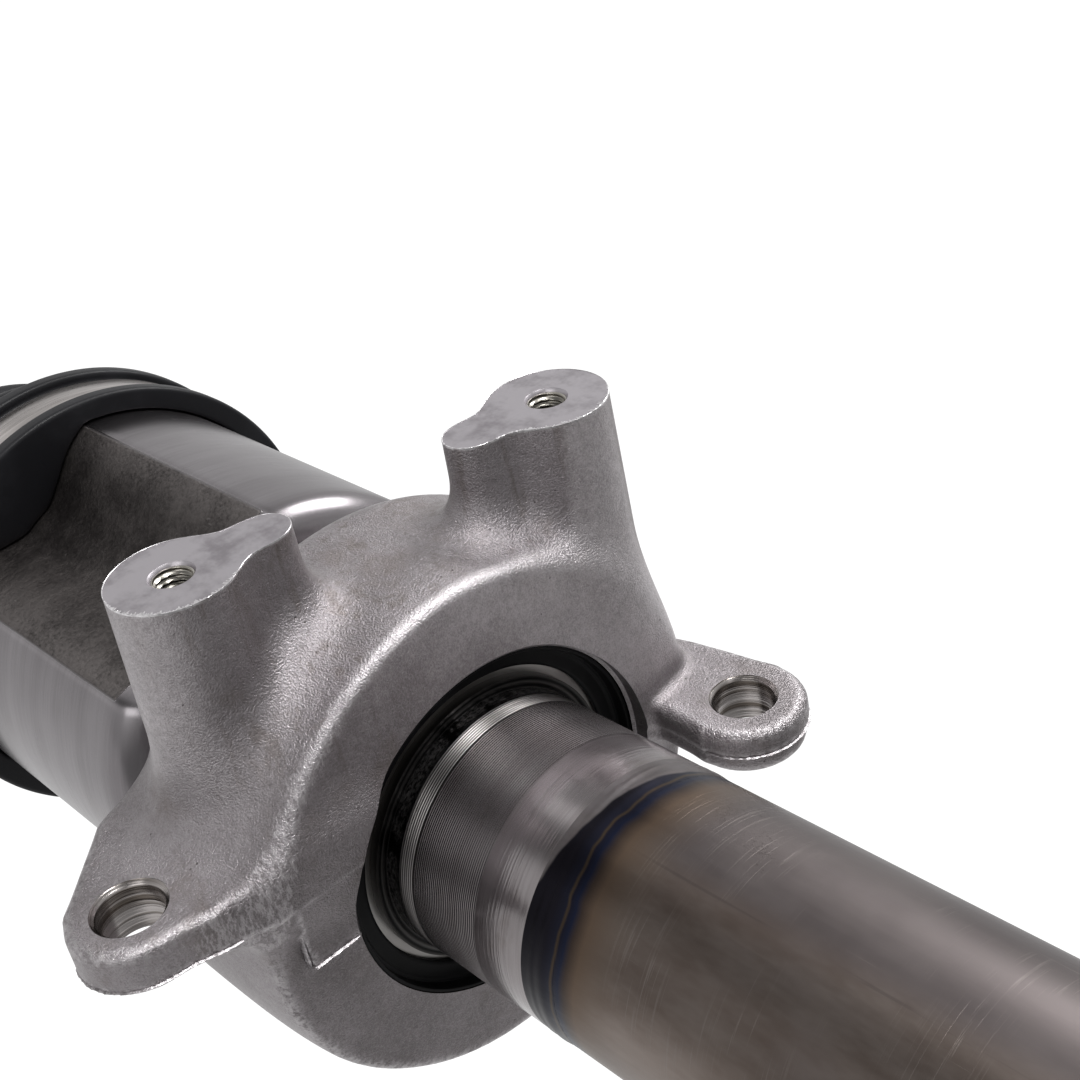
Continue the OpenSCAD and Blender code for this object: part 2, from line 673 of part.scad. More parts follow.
// Folded part of a boot from x0 towards -X, over length l
module folds(x0, l, n, r0, r1) {
    steps = 12 * n;
    line = [for (i = [0 : steps]) let (t = i / steps) [x0 + eps - (l + 2 * eps) * t, fold_r(t, n, r0, r1)]];
    turned(concat([for (p = line) [p[0], p[1] + folds_half_gap]],
        [for (i = [steps : -1 : 0]) [line[i][0], line[i][1] - folds_half_gap]]));
}

// Collar for a clamp from x0 towards -X, with a rib at each end
module rib_collar(x0, l, r_in, wall) {
    r = r_in + wall;
    turned([[x0, r_in], [x0, r + rib_h - 0.8], [x0 - 0.8, r + rib_h], [x0 - rib_w + 0.8, r + rib_h],
        [x0 - rib_w, r + rib_h - 0.8], [x0 - rib_w, r], [x0 - l + rib_w, r], [x0 - l + rib_w, r + rib_h - 0.8],
        [x0 - l + rib_w - 0.8, r + rib_h], [x0 - l + 0.8, r + rib_h], [x0 - l, r + rib_h - 0.8], [x0 - l, r_in]]);
}

inner_boot_end = -boot_start - collar_l - inner_boot_l;
small_collar_l = 17;
small_wall = 3;

module inner_boot() {
    x1 = -boot_start - collar_l;
    r0 = lobe_r + boot_gap + folds_half_gap;
    r1 = bar_r + boot_gap + small_wall + fold_depth * 0.4;
    color(rubber) from_ring() union() {
        difference() {
            rib_collar(-boot_start, collar_l, hollow_r - 4, lobe_r + boot_gap + boot_wall - hollow_r + 4);
            translate([housing_end - 0.4, 0, 0]) intersection() {
                across(housing_l) polygon(housing_points(boot_gap, lobe_r + 2));
                sleeve(-1, housing_l + 1, 0, lobe_r + boot_gap);
            }
            sleeve(x1 - 1, housing_end - 0.3, 0, lobe_r - 1);
        }
        folds(x1, inner_boot_l, inner_folds, r0, r1);
        rib_collar(inner_boot_end, small_collar_l, bar_r + boot_gap, small_wall + fold_depth * 0.4 + folds_half_gap - rib_h);
    }
}

small_clamp_in_r = bar_r + boot_gap + small_wall + fold_depth * 0.4 + folds_half_gap - rib_h + boot_gap;

module inner_boot_small_clamp() {
    clamp_band(inner_boot_end - small_collar_l / 2, small_clamp_in_r);
}

module tripod_spider() {
    color(steel) from_ring(tripod_x) difference() {
        union() {
            sleeve(-hub_w / 2, hub_w / 2, 0, hub_r);
            for (k = [0 : 2])
                rotate([lobe_angle + 120 * k, 0, 0]) rotate([-90, 0, 0]) difference() {
                    cylinder(r = trunnion_r, h = trunnion_end);
                    translate([0, 0, retainer_in - 0.05]) difference() {
                        cylinder(r = trunnion_r + 1, h = retainer_t + 0.1);
                        translate([0, 0, -1]) cylinder(r = trunnion_r - 0.8, h = retainer_t + 2.1);
                    }
                }
        }
        translate([-hub_w / 2 - 1, 0, 0]) across(hub_w + 2) spline_outline(bar_spline_r, bar_spline_n, spline_play);
    }
}

module trunnion_needles() {
    half = roller_half - 0.4;
    color(steel) from_ring(tripod_x)
        for (k = [0 : 2]) rotate([lobe_angle + 120 * k, 0, 0]) rotate([-90, 0, 0])
            for (i = [0 : needle_n - 1]) rotate([0, 0, i * 360 / needle_n])
                translate([trunnion_r + run_play + needle_r, 0, track_circle_r - half])
                    cylinder(r = needle_r, h = 2 * half, $fn = 24);
}

module roller_retainers() {
    color(dark_steel) from_ring(tripod_x)
        for (k = [0 : 2]) rotate([lobe_angle + 120 * k, 0, 0]) rotate([-90, 0, 0]) rotate([0, 0, 15])
            rotate_extrude(angle = 330) translate([trunnion_r - 0.8, retainer_in])
                square([roller_bore_r + 1.1 - trunnion_r + 0.8, retainer_t]);
}

module spider_circlip() {
    color(dark_steel) from_ring(tripod_x + hub_w / 2) rotate([0, 90, 0]) rotate([0, 0, 15])
        rotate_extrude(angle = 330) translate([bar_spline_r - 1.9, 0.05]) square([3.6, 1.6]);
}

// Barrel roller on trunnion k
module roller(k) {
    color(steel) from_ring(tripod_x) rotate([lobe_angle + 120 * k, 0, 0]) rotate([-90, 0, 0])
        translate([0, 0, track_circle_r]) difference() {
            intersection() {
                sphere(r = roller_r);
                cylinder(r = roller_r + 1, h = 2 * roller_half, center = true);
            }
            cylinder(r = roller_bore_r, h = 3 * roller_half, center = true);
        }
}

module roller_a() {
    roller(0);
}

module roller_b() {
    roller(1);
}

module roller_c() {
    roller(2);
}

module axle_bar() {
    in_neck = tripod_x - hub_w / 2;
    out_neck = outer_x + race_half;
    circlip_in = tripod_x + hub_w / 2;
    circlip_out = outer_x - race_half - 1.7;
    seat_in = inner_boot_end - small_collar_l / 2;
    seat_out = outer_boot_end + small_collar_l / 2;
    color(steel) from_ring() union() {
        difference() {
            splined(in_neck - 4, bar_in_end, bar_spline_r, bar_spline_n);
            sleeve(circlip_in, circlip_in + 1.7, bar_spline_r - 1.9, bar_spline_r + 2);
        }
        turned([[in_neck - 2.6, 0], [in_neck - 2.6, bar_spline_r - spline_depth - 0.1], [in_neck - 8, bar_neck_r],
            [in_neck - neck_l, bar_neck_r], [in_neck - neck_l - 12, bar_r], [seat_in + 12, bar_r],
            [seat_in + 11, bar_r - 0.8], [seat_in - 11, bar_r - 0.8], [seat_in - 12, bar_r],
            [seat_out + 12, bar_r], [seat_out + 11, bar_r - 0.8], [seat_out - 11, bar_r - 0.8],
            [seat_out - 12, bar_r], [seat_out - 14, bar_r], [seat_out - 22, bar_neck_r], [out_neck + 8, bar_neck_r],
            [out_neck + 2.6, bar_spline_r - spline_depth - 0.1], [out_neck + 2.6, 0]]);
        difference() {
            splined(bar_out_end, out_neck + 4, bar_spline_r, bar_spline_n);
            sleeve(circlip_out, circlip_out + 1.7, bar_spline_r - 1.9, bar_spline_r + 2);
        }
    }
}

module race_circlip() {
    color(dark_steel) from_ring(outer_x - race_half - 1.65) rotate([0, 90, 0]) rotate([0, 0, 15])
        rotate_extrude(angle = 330) translate([bar_spline_r - 1.9, 0]) square([3.6, 1.6]);
}

// One curved ball track, centred off the joint centre by off, over the angles a0 to a1
module ball_track(off, a0, a1) {
    translate([off, 0, 0]) rotate([0, 0, a0]) rotate_extrude(angle = a1 - a0)
        translate([drive_arc_r, 0]) circle(r = drive_track_r, $fn = 64);
}

module outer_inner_race() {
    color(steel) from_ring(outer_x) difference() {
        intersection() {
            ball_about_shaft(cage_in_r - cage_play);
            sleeve(-race_half, race_half, 0, cage_in_r);
        }
        for (i = [0 : ball_n - 1])
            rotate([i * 360 / ball_n, 0, 0]) ball_track(-track_offset, 35, 145);
        translate([-race_half - 1, 0, 0]) across(2 * race_half + 2) spline_outline(bar_spline_r, bar_spline_n, spline_play);
    }
}

module outer_cage() {
    side = ball_r + 1.8;
    color(dark_steel) from_ring(outer_x) difference() {
        intersection() {
            ball_about_shaft(cage_out_r);
            sleeve(-cage_half, cage_half, 0, cage_out_r + 1);
        }
        ball_about_shaft(cage_in_r);
        for (i = [0 : ball_n - 1])
            rotate([i * 360 / ball_n, 0, 0])
                translate([-ball_r - run_play, cage_in_r - 8, -side]) cube([2 * (ball_r + run_play), 20, 2 * side]);
    }
}

module outer_balls() {
    color(steel) from_ring(outer_x)
        for (i = [0 : ball_n - 1])
            rotate([i * 360 / ball_n, 0, 0]) translate([0, ball_circle_r, 0]) sphere(r = ball_r);
}

module outer_bell() {
    neck_r = 20;
    spline_x = -bell_shoulder;
    thread_x = spline_x - hub_spline_l - 3;
    tip = thread_x - thread_l;
    mouth_r = bell_r - 8.5;
    color(steel) from_ring(outer_x) union() {
        difference() {
            turned(concat([[bell_mouth, 0], [bell_mouth, bell_r - 1], [bell_mouth - 1, bell_r], [bell_mouth - 16, bell_r],
                [bell_mouth - 17, bell_r - 1]],
                arc([0, 0], bell_r - 1, 90, 147, 14),
                [[-bell_shoulder + 6, neck_r + 4], [-bell_shoulder + 5, shoulder_r - 1], [-bell_shoulder + 4, shoulder_r],
                [-bell_shoulder, shoulder_r], [-bell_shoulder, 0]]));
            ball_about_shaft(cage_out_r + cage_play);
            turned([[12, 0], [12, cage_out_r - 2], [bell_mouth, mouth_r], [bell_mouth + 1, mouth_r + 0.5], [bell_mouth + 1, 0]]);
            for (i = [0 : ball_n - 1])
                rotate([i * 360 / ball_n, 0, 0]) ball_track(track_offset, 38, 132);
        }
        splined(spline_x - hub_spline_l, spline_x + 2, hub_spline_r, hub_spline_n);
        turned([[spline_x - hub_spline_l + 2, 0], [spline_x - hub_spline_l + 2, hub_spline_r - spline_depth - 0.2],
            [thread_x, hub_spline_r - spline_depth - 0.2], [thread_x - 1, thread_r], [tip + 1.2, thread_r],
            [tip, thread_r - 1.2], [tip, 0]]);
    }
}

outer_boot_start = outer_x + bell_mouth - 14;
outer_boot_end = outer_boot_start + collar_l + outer_boot_l + small_collar_l;

module outer_boot() {
    x1 = outer_boot_start + collar_l;
    r0 = bell_r + boot_gap + folds_half_gap;
    r1 = bar_r + boot_gap + small_wall + fold_depth * 0.4;
    small_h = small_wall + fold_depth * 0.4 + folds_half_gap - rib_h;
    color(rubber) from_ring() union() {
        rib_collar(x1, collar_l, bell_r + boot_gap, boot_wall);
        mirror([1, 0, 0]) folds(-x1, outer_boot_l, outer_folds, r0, r1);
        rib_collar(outer_boot_end, small_collar_l, bar_r + boot_gap, small_h);
    }
}

module outer_boot_large_clamp() {
    clamp_band(outer_boot_start + collar_l / 2, bell_r + boot_gap + boot_wall + boot_gap);
}

module outer_boot_small_clamp() {
    clamp_band(outer_boot_end - small_collar_l / 2, small_clamp_in_r);
}

bearing_bracket();
bearing_outer_race();
inboard_seal();
outboard_seal();
bracket_snap_ring();
bearing_inner_race();
bearing_balls();
bearing_cage();
shaft_circlip();
dust_shield();
tulip_housing();
weld_ring_outboard();
intermediate_tube();
weld_ring_inboard();
inboard_stub();
inboard_snap_ring();
inner_boot_large_clamp();
inner_boot();
tripod_spider();
trunnion_needles();
roller_retainers();
spider_circlip();
roller_a();
roller_b();
roller_c();
inner_boot_small_clamp();
axle_bar();
race_circlip();
outer_inner_race();
outer_cage();
outer_balls();
outer_bell();
outer_boot();
outer_boot_large_clamp();
outer_boot_small_clamp();
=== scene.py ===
import math

import bmesh
import bpy
import numpy as np
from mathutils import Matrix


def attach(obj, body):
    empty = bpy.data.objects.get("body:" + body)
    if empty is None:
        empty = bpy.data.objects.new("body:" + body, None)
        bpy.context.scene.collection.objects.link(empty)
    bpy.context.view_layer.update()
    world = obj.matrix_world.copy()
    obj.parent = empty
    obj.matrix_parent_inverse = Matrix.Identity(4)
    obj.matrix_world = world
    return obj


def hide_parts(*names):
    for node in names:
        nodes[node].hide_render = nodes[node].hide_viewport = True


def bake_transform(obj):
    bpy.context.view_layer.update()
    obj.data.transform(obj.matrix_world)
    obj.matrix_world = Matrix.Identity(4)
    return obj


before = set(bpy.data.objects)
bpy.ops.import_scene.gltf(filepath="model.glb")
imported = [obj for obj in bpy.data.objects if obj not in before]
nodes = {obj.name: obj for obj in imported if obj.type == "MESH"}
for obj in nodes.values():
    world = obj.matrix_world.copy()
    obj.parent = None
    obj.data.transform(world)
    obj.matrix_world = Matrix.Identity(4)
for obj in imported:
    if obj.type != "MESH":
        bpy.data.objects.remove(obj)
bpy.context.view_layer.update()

import openvdb
from mathutils import Matrix, Vector

# Camera
# It stands where the photograph was taken: in front of the bearing bracket, high and to the left,
# found from the machined shaft end, the housing's lobes and the bolt holes.
ring_front = -0.285


def add(name, data):
    """A new object with this data, in the scene."""
    made = bpy.data.objects.new(name, data)
    bpy.context.scene.collection.objects.link(made)
    return made


photo_camera = add("photo_camera", bpy.data.cameras.new("photo_camera"))
right = np.array([0.682201, 0.713215, -0.161016])
ahead = np.array([-0.672911, 0.526297, -0.519809])
turn = np.eye(4)
turn[:3, 0], turn[:3, 1], turn[:3, 2] = right, np.cross(-ahead, right), -ahead
turn[:3, 3] = [0.167927 + ring_front, -0.113608, 0.174770]
photo_camera.matrix_world = Matrix(turn.tolist())
photo_camera.data.sensor_width = 36
photo_camera.data.lens = 36 * 1622.8 / 1080
photo_camera.data.clip_start = 0.01
bpy.context.scene.camera = photo_camera
bpy.context.scene.view_settings.view_transform = "Standard"


# Bearing bracket
# A sand-cast aluminium ring with two mounting ears and two tall bosses, shot-blasted as cast;
# the boss tops, the bolt holes and the bearing seat are machined afterwards. Two bolts hold it to the engine.
# Sizes are in mm, with x counted from the ring's front face.
ring_r, ring_l, ring_open_r = 47.0, 34.0, 30.3
boss_h, boss_r, boss_tail_r, boss_tail = 60.0, 10.0, 4.4, 14.8
left_boss, right_boss = (-20.3, -32.4), (-10.6, 32.6)
left_turn, right_turn = math.radians(84), math.radians(-98)
ear_t, ear_hole_r, ear_chamfer = 8.8, 5.25, 0.65
left_ear, right_ear = (-12.5, -58.0), (14.8, 42.6)
left_ear_top, right_ear_top = 20.2, 5.0
left_parting, right_parting = 13.2, 0.3
bearing_r, ring_lip = 37.5, 4.2
front_round, back_round = 1.5, 4.5
left_ear_r, right_ear_r, web_fillet = 9.7, 10.7, 1.2
boss_fillet, left_ear_fillet, right_ear_fillet = 9.0, 9.0, 2.4


def soft_join(a, b, k):
    """Distance to two bodies cast together: the smaller of a and b, with a fillet about k mm wide."""
    h = np.clip(0.5 + 0.5 * (b - a) / k, 0, 1)
    return b + (a - b) * h - k * h * (1 - h)


def outline_distance(p, corners):
    """Signed distance in a plane from points p to a closed outline given by its corners."""
    corners = np.asarray(corners, float)
    best, inside = np.full(len(p), 1e9), np.zeros(len(p), bool)
    for a, b in zip(corners, np.roll(corners, -1, 0)):
        e, w = b - a, p - a
        t = np.clip((w @ e) / (e @ e), 0, 1)
        best = np.minimum(best, np.hypot(*(w - t[:, None] * e).T))
        crosses = (a[1] > p[:, 1]) != (b[1] > p[:, 1])
        with np.errstate(divide="ignore", invalid="ignore"):
            inside ^= crosses & (p[:, 0] < e[0] * (p[:, 1] - a[1]) / e[1] + a[0])
    return np.where(inside, -best, best)


def rounded_box(a, b, r):
    """Distance to where both a and b are below nothing, with the edge between them rounded by r."""
    a, b = a + r, b + r
    return np.minimum(np.maximum(a, b), 0) + np.hypot(np.maximum(a, 0), np.maximum(b, 0)) - r


def boss_outline(u, v, centre, turn, draft):
    """Distance across to a boss: a round end and a tail with a hollow waist between, all grown by the draft."""
    u, v = u - centre[0], v - centre[1]
    along, across = u * math.cos(turn) + v * math.sin(turn), v * math.cos(turn) - u * math.sin(turn)
    return soft_join(np.hypot(along, across) - boss_r - draft,
                     np.hypot(along - boss_tail, across) - boss_tail_r - draft * 0.7, 7.5)


def under(height):
    """1 well below nothing and 0 well above it: the step that a mould's parting line leaves."""
    return 1 / (1 + np.exp(np.clip(height / 0.12, -60, 60)))


def casting_distance(p):
    """Distance in mm from points p to the whole casting before it is machined."""
    x, y, z = p.T
    rho = np.hypot(y, z)
    taper = np.exp(np.minimum(x, 0) / 9) * (1.9 + 2.0 * np.clip(y / 40, 0, 1))
    outer = ring_r + 0.2 - taper - 1.2 * np.clip(-(z + 5) / 30, 0, 1)
    mid, half = -ring_l / 2, ring_l / 2
    edge = np.where(x > mid, front_round, back_round)
    below = under(z - left_parting * under(y + 40))
    ring = rounded_box(np.abs(x - mid) - half + 0.7 * below * (x > mid),
                       np.maximum(rho - outer + 0.3 * below, ring_open_r - 3 - rho), edge)
    left_web = [(-0.9, -24), (-0.9, -51), (-4.0, -61), (-11, -66.8), (-19.4, -65.4), (-33.2, -51.6),
                (-34, -49), (-34, -24)]
    left_plate = soft_join(np.hypot(x - left_ear[0], y - left_ear[1]) - left_ear_r,
                           outline_distance(p[:, :2], left_web), web_fillet)
    left_plate = left_plate + 0.7 * under(z - left_parting)
    left = rounded_box(np.abs(z - left_ear_top + ear_t / 2) - ear_t / 2, left_plate, 1.5)
    right_web = [(-26, 28), (-2, 32.2), (14.8, 31.9), (20, 40), (13.9, 53.2), (5, 52), (-4, 50.4),
                 (-12, 48), (-26, 43)]
    right_plate = soft_join(np.hypot(x - right_ear[0], y - right_ear[1]) - right_ear_r,
                            outline_distance(p[:, :2], right_web), web_fillet)
    right_plate = right_plate + 0.6 * under(z - right_parting)
    right = rounded_box(np.abs(z - right_ear_top + ear_t / 2) - ear_t / 2, right_plate, 1.9)
    body = ring
    for centre, turn, low in ((left_boss, left_turn, 12.5), (right_boss, right_turn, -2.0)):
        outline = boss_outline(x, y, centre, turn, (boss_h - z) * 0.028)
        ends = np.abs(z - (boss_h + 4 + low) / 2) - (boss_h + 4 - low) / 2
        body = soft_join(body, rounded_box(ends, outline, 0.3), boss_fillet)
    return soft_join(soft_join(body, left, left_ear_fillet), right, right_ear_fillet)


def cast_skin(distance, low, high, cell):
    """The skin of a casting: its distance is sampled on a grid, quads are laid where it passes through nothing,
    and each corner then goes down the slope of the distance until it lies on the surface."""
    low = np.asarray(low, float)
    count = np.ceil((np.asarray(high) - low) / cell).astype(int) + 1
    grid = np.stack(np.meshgrid(*(low[i] + cell * np.arange(count[i]) for i in range(3)), indexing="ij"), -1)
    field = distance(grid.reshape(-1, 3)).reshape(count)
    volume = openvdb.FloatGrid(10.0)
    volume.copyFromArray(field.astype(np.float32))
    p, quads = volume.convertToQuads(0.0)
    p = p.astype(float) * cell + low
    for _ in range(4):
        slope = np.stack([distance(p + 0.02 * e) - distance(p - 0.02 * e) for e in np.eye(3)], 1) / 0.04
        p -= (np.clip(distance(p), -1, 1) / np.maximum((slope ** 2).sum(1), 0.3))[:, None] * slope
    return p, quads


def place(name, points, faces, keep_mm=False):
    """A new piece from points in mm and faces; its faces are turned outwards."""
    quads = np.array([f for f in faces if len(f) == 4])
    q = points - points.mean(0)
    a, b, c, d = (q[quads[:, i]] for i in range(4))
    volume = (a * np.cross(b, c)).sum() + (a * np.cross(c, d)).sum()
    faces = [list(f)[::-1] for f in faces] if volume < 0 else [list(f) for f in faces]
    mesh = bpy.data.meshes.new(name)
    shown = points if keep_mm else points * 0.001 + (ring_front, 0, 0)
    mesh.from_pydata(shown.tolist(), [], faces)
    return add(name, mesh)


def quads_of(rows, places, loop=False, caps=False):
    """Faces of a grid of rows that run round: loop joins the last row to the first, caps closes both ends."""
    i = np.arange(rows if loop else rows - 1)[:, None]
    j = np.arange(places)[None]
    on, up = (j + 1) % places, (i + 1) % rows
    faces = np.stack([i * places + j, i * places + on, up * places + on, up * places + j], -1)
    faces = faces.reshape(-1, 4).tolist()
    if caps:
        faces += [list(range(places))[::-1], list(range((rows - 1) * places, rows * places))]
    return faces


def sheet(name, points, **ends):
    """A new piece from a grid of points in mm, its rows joined as quads_of says."""
    return place(name, points.reshape(-1, 3), quads_of(*points.shape[:2], **ends))


def circle(count):
    """So many angles, spread evenly round a full turn."""
    return np.linspace(0, 2 * math.pi, count, endpoint=False)


def carried(x, r, a):
    """Points at x along the shaft, at radius r and the angles a round it: x, r cos a, r sin a."""
    return np.stack([x + 0 * a, r * np.cos(a), r * np.sin(a)], -1)


def turned(profile, segments=96, upright=False, centre=(0, 0, 0)):
    """A grid of points: a profile (place along the axis, radius) carried round x, or round z if upright."""
    along, r = np.asarray(profile, float).T[:, :, None]
    points = carried(along, r, circle(segments))
    return (np.roll(points, -1, -1) if upright else points) + centre


def settle(piece):
    """Applies the piece's modifiers to its mesh."""
    graph = bpy.context.evaluated_depsgraph_get()
    graph.update()
    done = bpy.data.meshes.new_from_object(piece.evaluated_get(graph))
    piece.modifiers.clear()
    old, piece.data = piece.data, done
    bpy.data.meshes.remove(old)


def cut(piece, *profiles):
    """Takes turned solids out of the piece, each given by its profile, segments, whether upright, and centre."""
    points, faces, start = [], [], 0
    for profile, segments, upright, centre in profiles:
        points.append(turned(profile, segments, upright, centre).reshape(-1, 3))
        faces += [[i + start for i in face] for face in quads_of(len(profile), segments, caps=True)]
        start += len(points[-1])
    tool = place("cutter", np.concatenate(points), faces, keep_mm=True)
    shape = bmesh.new()
    shape.from_mesh(tool.data)
    bmesh.ops.recalc_face_normals(shape, faces=shape.faces)
    shape.to_mesh(tool.data)
    shape.free()
    away = piece.modifiers.new("cut", "BOOLEAN")
    away.operation, away.object, away.solver = "DIFFERENCE", tool, "EXACT"
    settle(piece)
    bpy.data.objects.remove(tool)


bracket = place("bracket_casting", *cast_skin(casting_distance, (-37, -71, -50), (29, 57, 67), 0.9), keep_mm=True)
bolt_hole = [(-2, ear_hole_r), (ear_t - ear_chamfer, ear_hole_r), (ear_t, ear_hole_r + ear_chamfer),
             (ear_t + 2, ear_hole_r + ear_chamfer + 2)]
tap_hole = [(-16, 3.1), (-0.9, 3.1), (-0.45, 3.15), (0, 3.55), (2, 5.5)]
cut(bracket, ([(-60, bearing_r), (-ring_lip, bearing_r), (-ring_lip, ring_open_r), (-0.5, ring_open_r),
               (0, ring_open_r + 0.5), (3, ring_open_r + 0.5)], 128, False, (0, 0, 0)),
    (bolt_hole, 64, True, (*left_ear, left_ear_top - ear_t)),
    (bolt_hole, 64, True, (*right_ear, right_ear_top - ear_t)))
for tool, segments in (([(0, 26), (10, 26)], 32), (tap_hole, 48)):
    cut(bracket, *((tool, segments, True, (*centre, boss_h)) for centre in (left_boss, right_boss)))
bracket.data.transform(Matrix.Translation((ring_front, 0, 0)) @ Matrix.Scale(0.001, 4))


def plug(socket, value):
    """Links a field to a socket, or sets a plain value on it."""
    if isinstance(value, Field):
        value.tree.links.new(value.socket, socket)
    else:
        socket.default_value = value


class Field:
    """One socket of a material's nodes; sums and products of fields add Math nodes."""

    def __init__(self, tree, socket):
        self.tree, self.socket = tree, socket

    def node(self, kind, settings=None, out=0, **inputs):
        """A node of any kind: its settings first, then its inputs by name (spaces as _) or as in0, in1."""
        made = self.tree.nodes.new(kind)
        for key, value in (settings or {}).items():
            if key == "stops":
                ramp = made.color_ramp
                while len(ramp.elements) < len(value):
                    ramp.elements.new(0.5)
                for element, (spot, colour) in zip(ramp.elements, value):
                    element.position, element.color = spot, (*colour, 1)
            else:
                setattr(made, key, value)
        for key, value in inputs.items():
            by_number = key[:2] == "in" and key[2:].isdigit()
            plug(made.inputs[int(key[2:]) if by_number else key.replace("_", " ")], value)
        return Field(self.tree, made.outputs[out])

    def math(self, operation, *others, before=()):
        """A Math node on this field, with other values after it or before it."""
        values = {f"in{i}": value for i, value in enumerate((*before, self, *others))}
        return self.node("ShaderNodeMath", {"operation": operation}, **values)

    def __add__(self, other):
        return self.math("ADD", other)

    __radd__ = __add__

    def __sub__(self, other):
        return self.math("SUBTRACT", other)

    def __rsub__(self, other):
        return self.math("SUBTRACT", before=(other,))

    def __mul__(self, other):
        return self.math("MULTIPLY", other)

    def __truediv__(self, other):
        return self.math("DIVIDE", other)

    def step(self, low, high):
        """0 at low, 1 at high, smooth between."""
        return self.node("ShaderNodeMapRange", {"interpolation_type": "SMOOTHSTEP", "clamp": True}, Value=self,
                         From_Min=low, From_Max=high, To_Min=0.0, To_Max=1.0)

    def mix(self, first, second):
        """Colour from first to second as this field goes from 0 to 1; a plain colour is three numbers."""
        first, second = ((*c, 1) if isinstance(c, tuple) else c for c in (first, second))
        return self.node("ShaderNodeMix", {"data_type": "RGBA"}, 2, in0=self, in6=first, in7=second)

    def noise(self, scale, detail=3.0, roughness=0.6):
        """Noise from 0 to 1 at this vector field; scale is features per metre."""
        return self.node("ShaderNodeTexNoise", Vector=self, Scale=scale, Detail=detail, Roughness=roughness)

    def cells(self, scale):
        """Distance to the nearest of many scattered points, about so many to a metre."""
        return self.node("ShaderNodeTexVoronoi", Vector=self, Scale=scale)

    def vector(self, x, y, z):
        """A vector field from three numbers."""
        return self.node("ShaderNodeCombineXYZ", in0=x, in1=y, in2=z)

    def axis(self, index):
        """One number of this vector field."""
        return self.node("ShaderNodeSeparateXYZ", None, index, Vector=self)


def finish(name, metallic, coat=0.0):
    """A new material: returns it, the field of object coordinates and its shader."""
    material = bpy.data.materials.new(name)
    material.use_nodes = True
    tree = material.node_tree
    shader = tree.nodes["Principled BSDF"]
    shader.inputs["Metallic"].default_value = metallic
    shader.inputs["Coat Weight"].default_value = coat
    return material, Field(tree, tree.nodes.new("ShaderNodeTexCoord").outputs["Object"]), shader


def join(shader, **sockets):
    """Links fields or sets values on the shader's sockets; bump is a height field in metres."""
    for key, value in sockets.items():
        if key == "bump":
            value, key = value.node("ShaderNodeBump", Strength=1.0, Distance=1.0, Height=value), "Normal"
        plug(shader.inputs[key.replace("_", " ")], value)


def fit(piece, body, material, replaces=(), sharp=35):
    """Finishes a piece: its shading, material, the body it rides on and the solids it stands for."""
    mesh = piece.data
    mesh.polygons.foreach_set("use_smooth", np.ones(len(mesh.polygons), bool))
    mesh.set_sharp_from_angle(angle=math.radians(sharp))
    if not mesh.materials:
        mesh.materials.append(material)
    if replaces:
        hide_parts(*replaces)
    if body:
        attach(piece, body)


def radial(spot):
    """x from the ring's front face, y, z and the distance from the shaft axis, all in metres."""
    x, y, z = spot.axis(0) - ring_front, spot.axis(1), spot.axis(2)
    return x, y, z, (y * y + z * z).math("SQRT")


def numbers(items, what):
    """Three numbers of each vertex or face, by their name in the mesh."""
    values = np.empty(len(items) * 3)
    items.foreach_get(what, values)
    return values.reshape(-1, 3)


# How far each edge of the casting sticks out, from its distance on six sides: shot and handling polish it there
p = (numbers(bracket.data.vertices, "co") - (ring_front, 0, 0)) * 1000
bulge = sum(casting_distance(p + s * 0.8 * e) for e in np.eye(3) for s in (-1, 1)) - 6 * casting_distance(p)
bulge = np.clip(bulge / 0.64 * 1.1 - 0.12, 0, 1) * (p[:, 2] < boss_h - 0.5)
burr = (p[:, 2] > boss_h - 0.35) * (casting_distance(p) > -0.4) * 1.0
wear = bracket.data.attributes.new("wear", "FLOAT", "POINT")
wear.data.foreach_set("value", np.maximum(bulge, burr).astype(np.float32))

cast, spot, shader = finish("cast_aluminium", 0.95)
x, y, z, rho = radial(spot)
wear = Field(spot.tree, spot.tree.nodes.new("ShaderNodeAttribute").outputs["Fac"])
wear.socket.node.attribute_name = "wear"
grain = spot.noise(3300, 2.0, 0.65)
lumps = spot.noise(900, 3.0, 0.65)
tone = spot.noise(45, 4.0, 0.65)
oily = spot.noise(70, 4.0, 0.7).step(0.50, 0.72)
pits = spot.cells(420).step(0.10, 0.04) * spot.noise(90, 2.0, 0.6).step(0.52, 0.62)
runs = spot.vector(x, y, z * 0.12).noise(260, 3.0, 0.7).step(0.52, 0.70) * z.step(0.022, 0.038)
rubbed = wear * spot.noise(800, 3.0, 0.75).step(0.34, 0.6)
ridge_side = x.step(-0.006, -0.0008) * y.step(-0.014, -0.026) * z.step(0.002, 0.010) * rho.step(0.040, 0.044)
fettled = spot.vector(x * 0.5, y, z * 0.4).noise(1500, 3.0, 0.75) * ridge_side
shade = (tone * 0.42 + lumps * 0.2 + grain * 0.38).step(0.34, 0.66)
colour = shade.mix((0.215, 0.196, 0.200), (0.390, 0.363, 0.376))
colour = (oily * 0.45).mix(colour, (0.190, 0.160, 0.145))
colour = (runs * 0.45).mix(colour, (0.135, 0.110, 0.095))
# Painted light and painted shade: painted_light lightens the upper right of the front face and the left boss's
# outer side, painted_shade darkens the lower left of the front face and the low part round the right ear.
front_face, up_right = x.step(-0.003, -0.001), z * 0.8 + y * 0.6
painted_light = front_face * up_right.step(0.004, 0.040) * z.step(0.005, 0.012)
painted_light = painted_light + y.step(-0.034, -0.042) * z.step(0.024, 0.036) * 0.75
painted_shade = front_face * up_right.step(0.006, -0.018) + y.step(0.034, 0.039) * z.step(0.012, 0.009) * 0.7
colour = (painted_shade.step(0.0, 1.0) * 0.6).mix(colour, shade.mix((0.105, 0.094, 0.096), (0.235, 0.214, 0.219)))
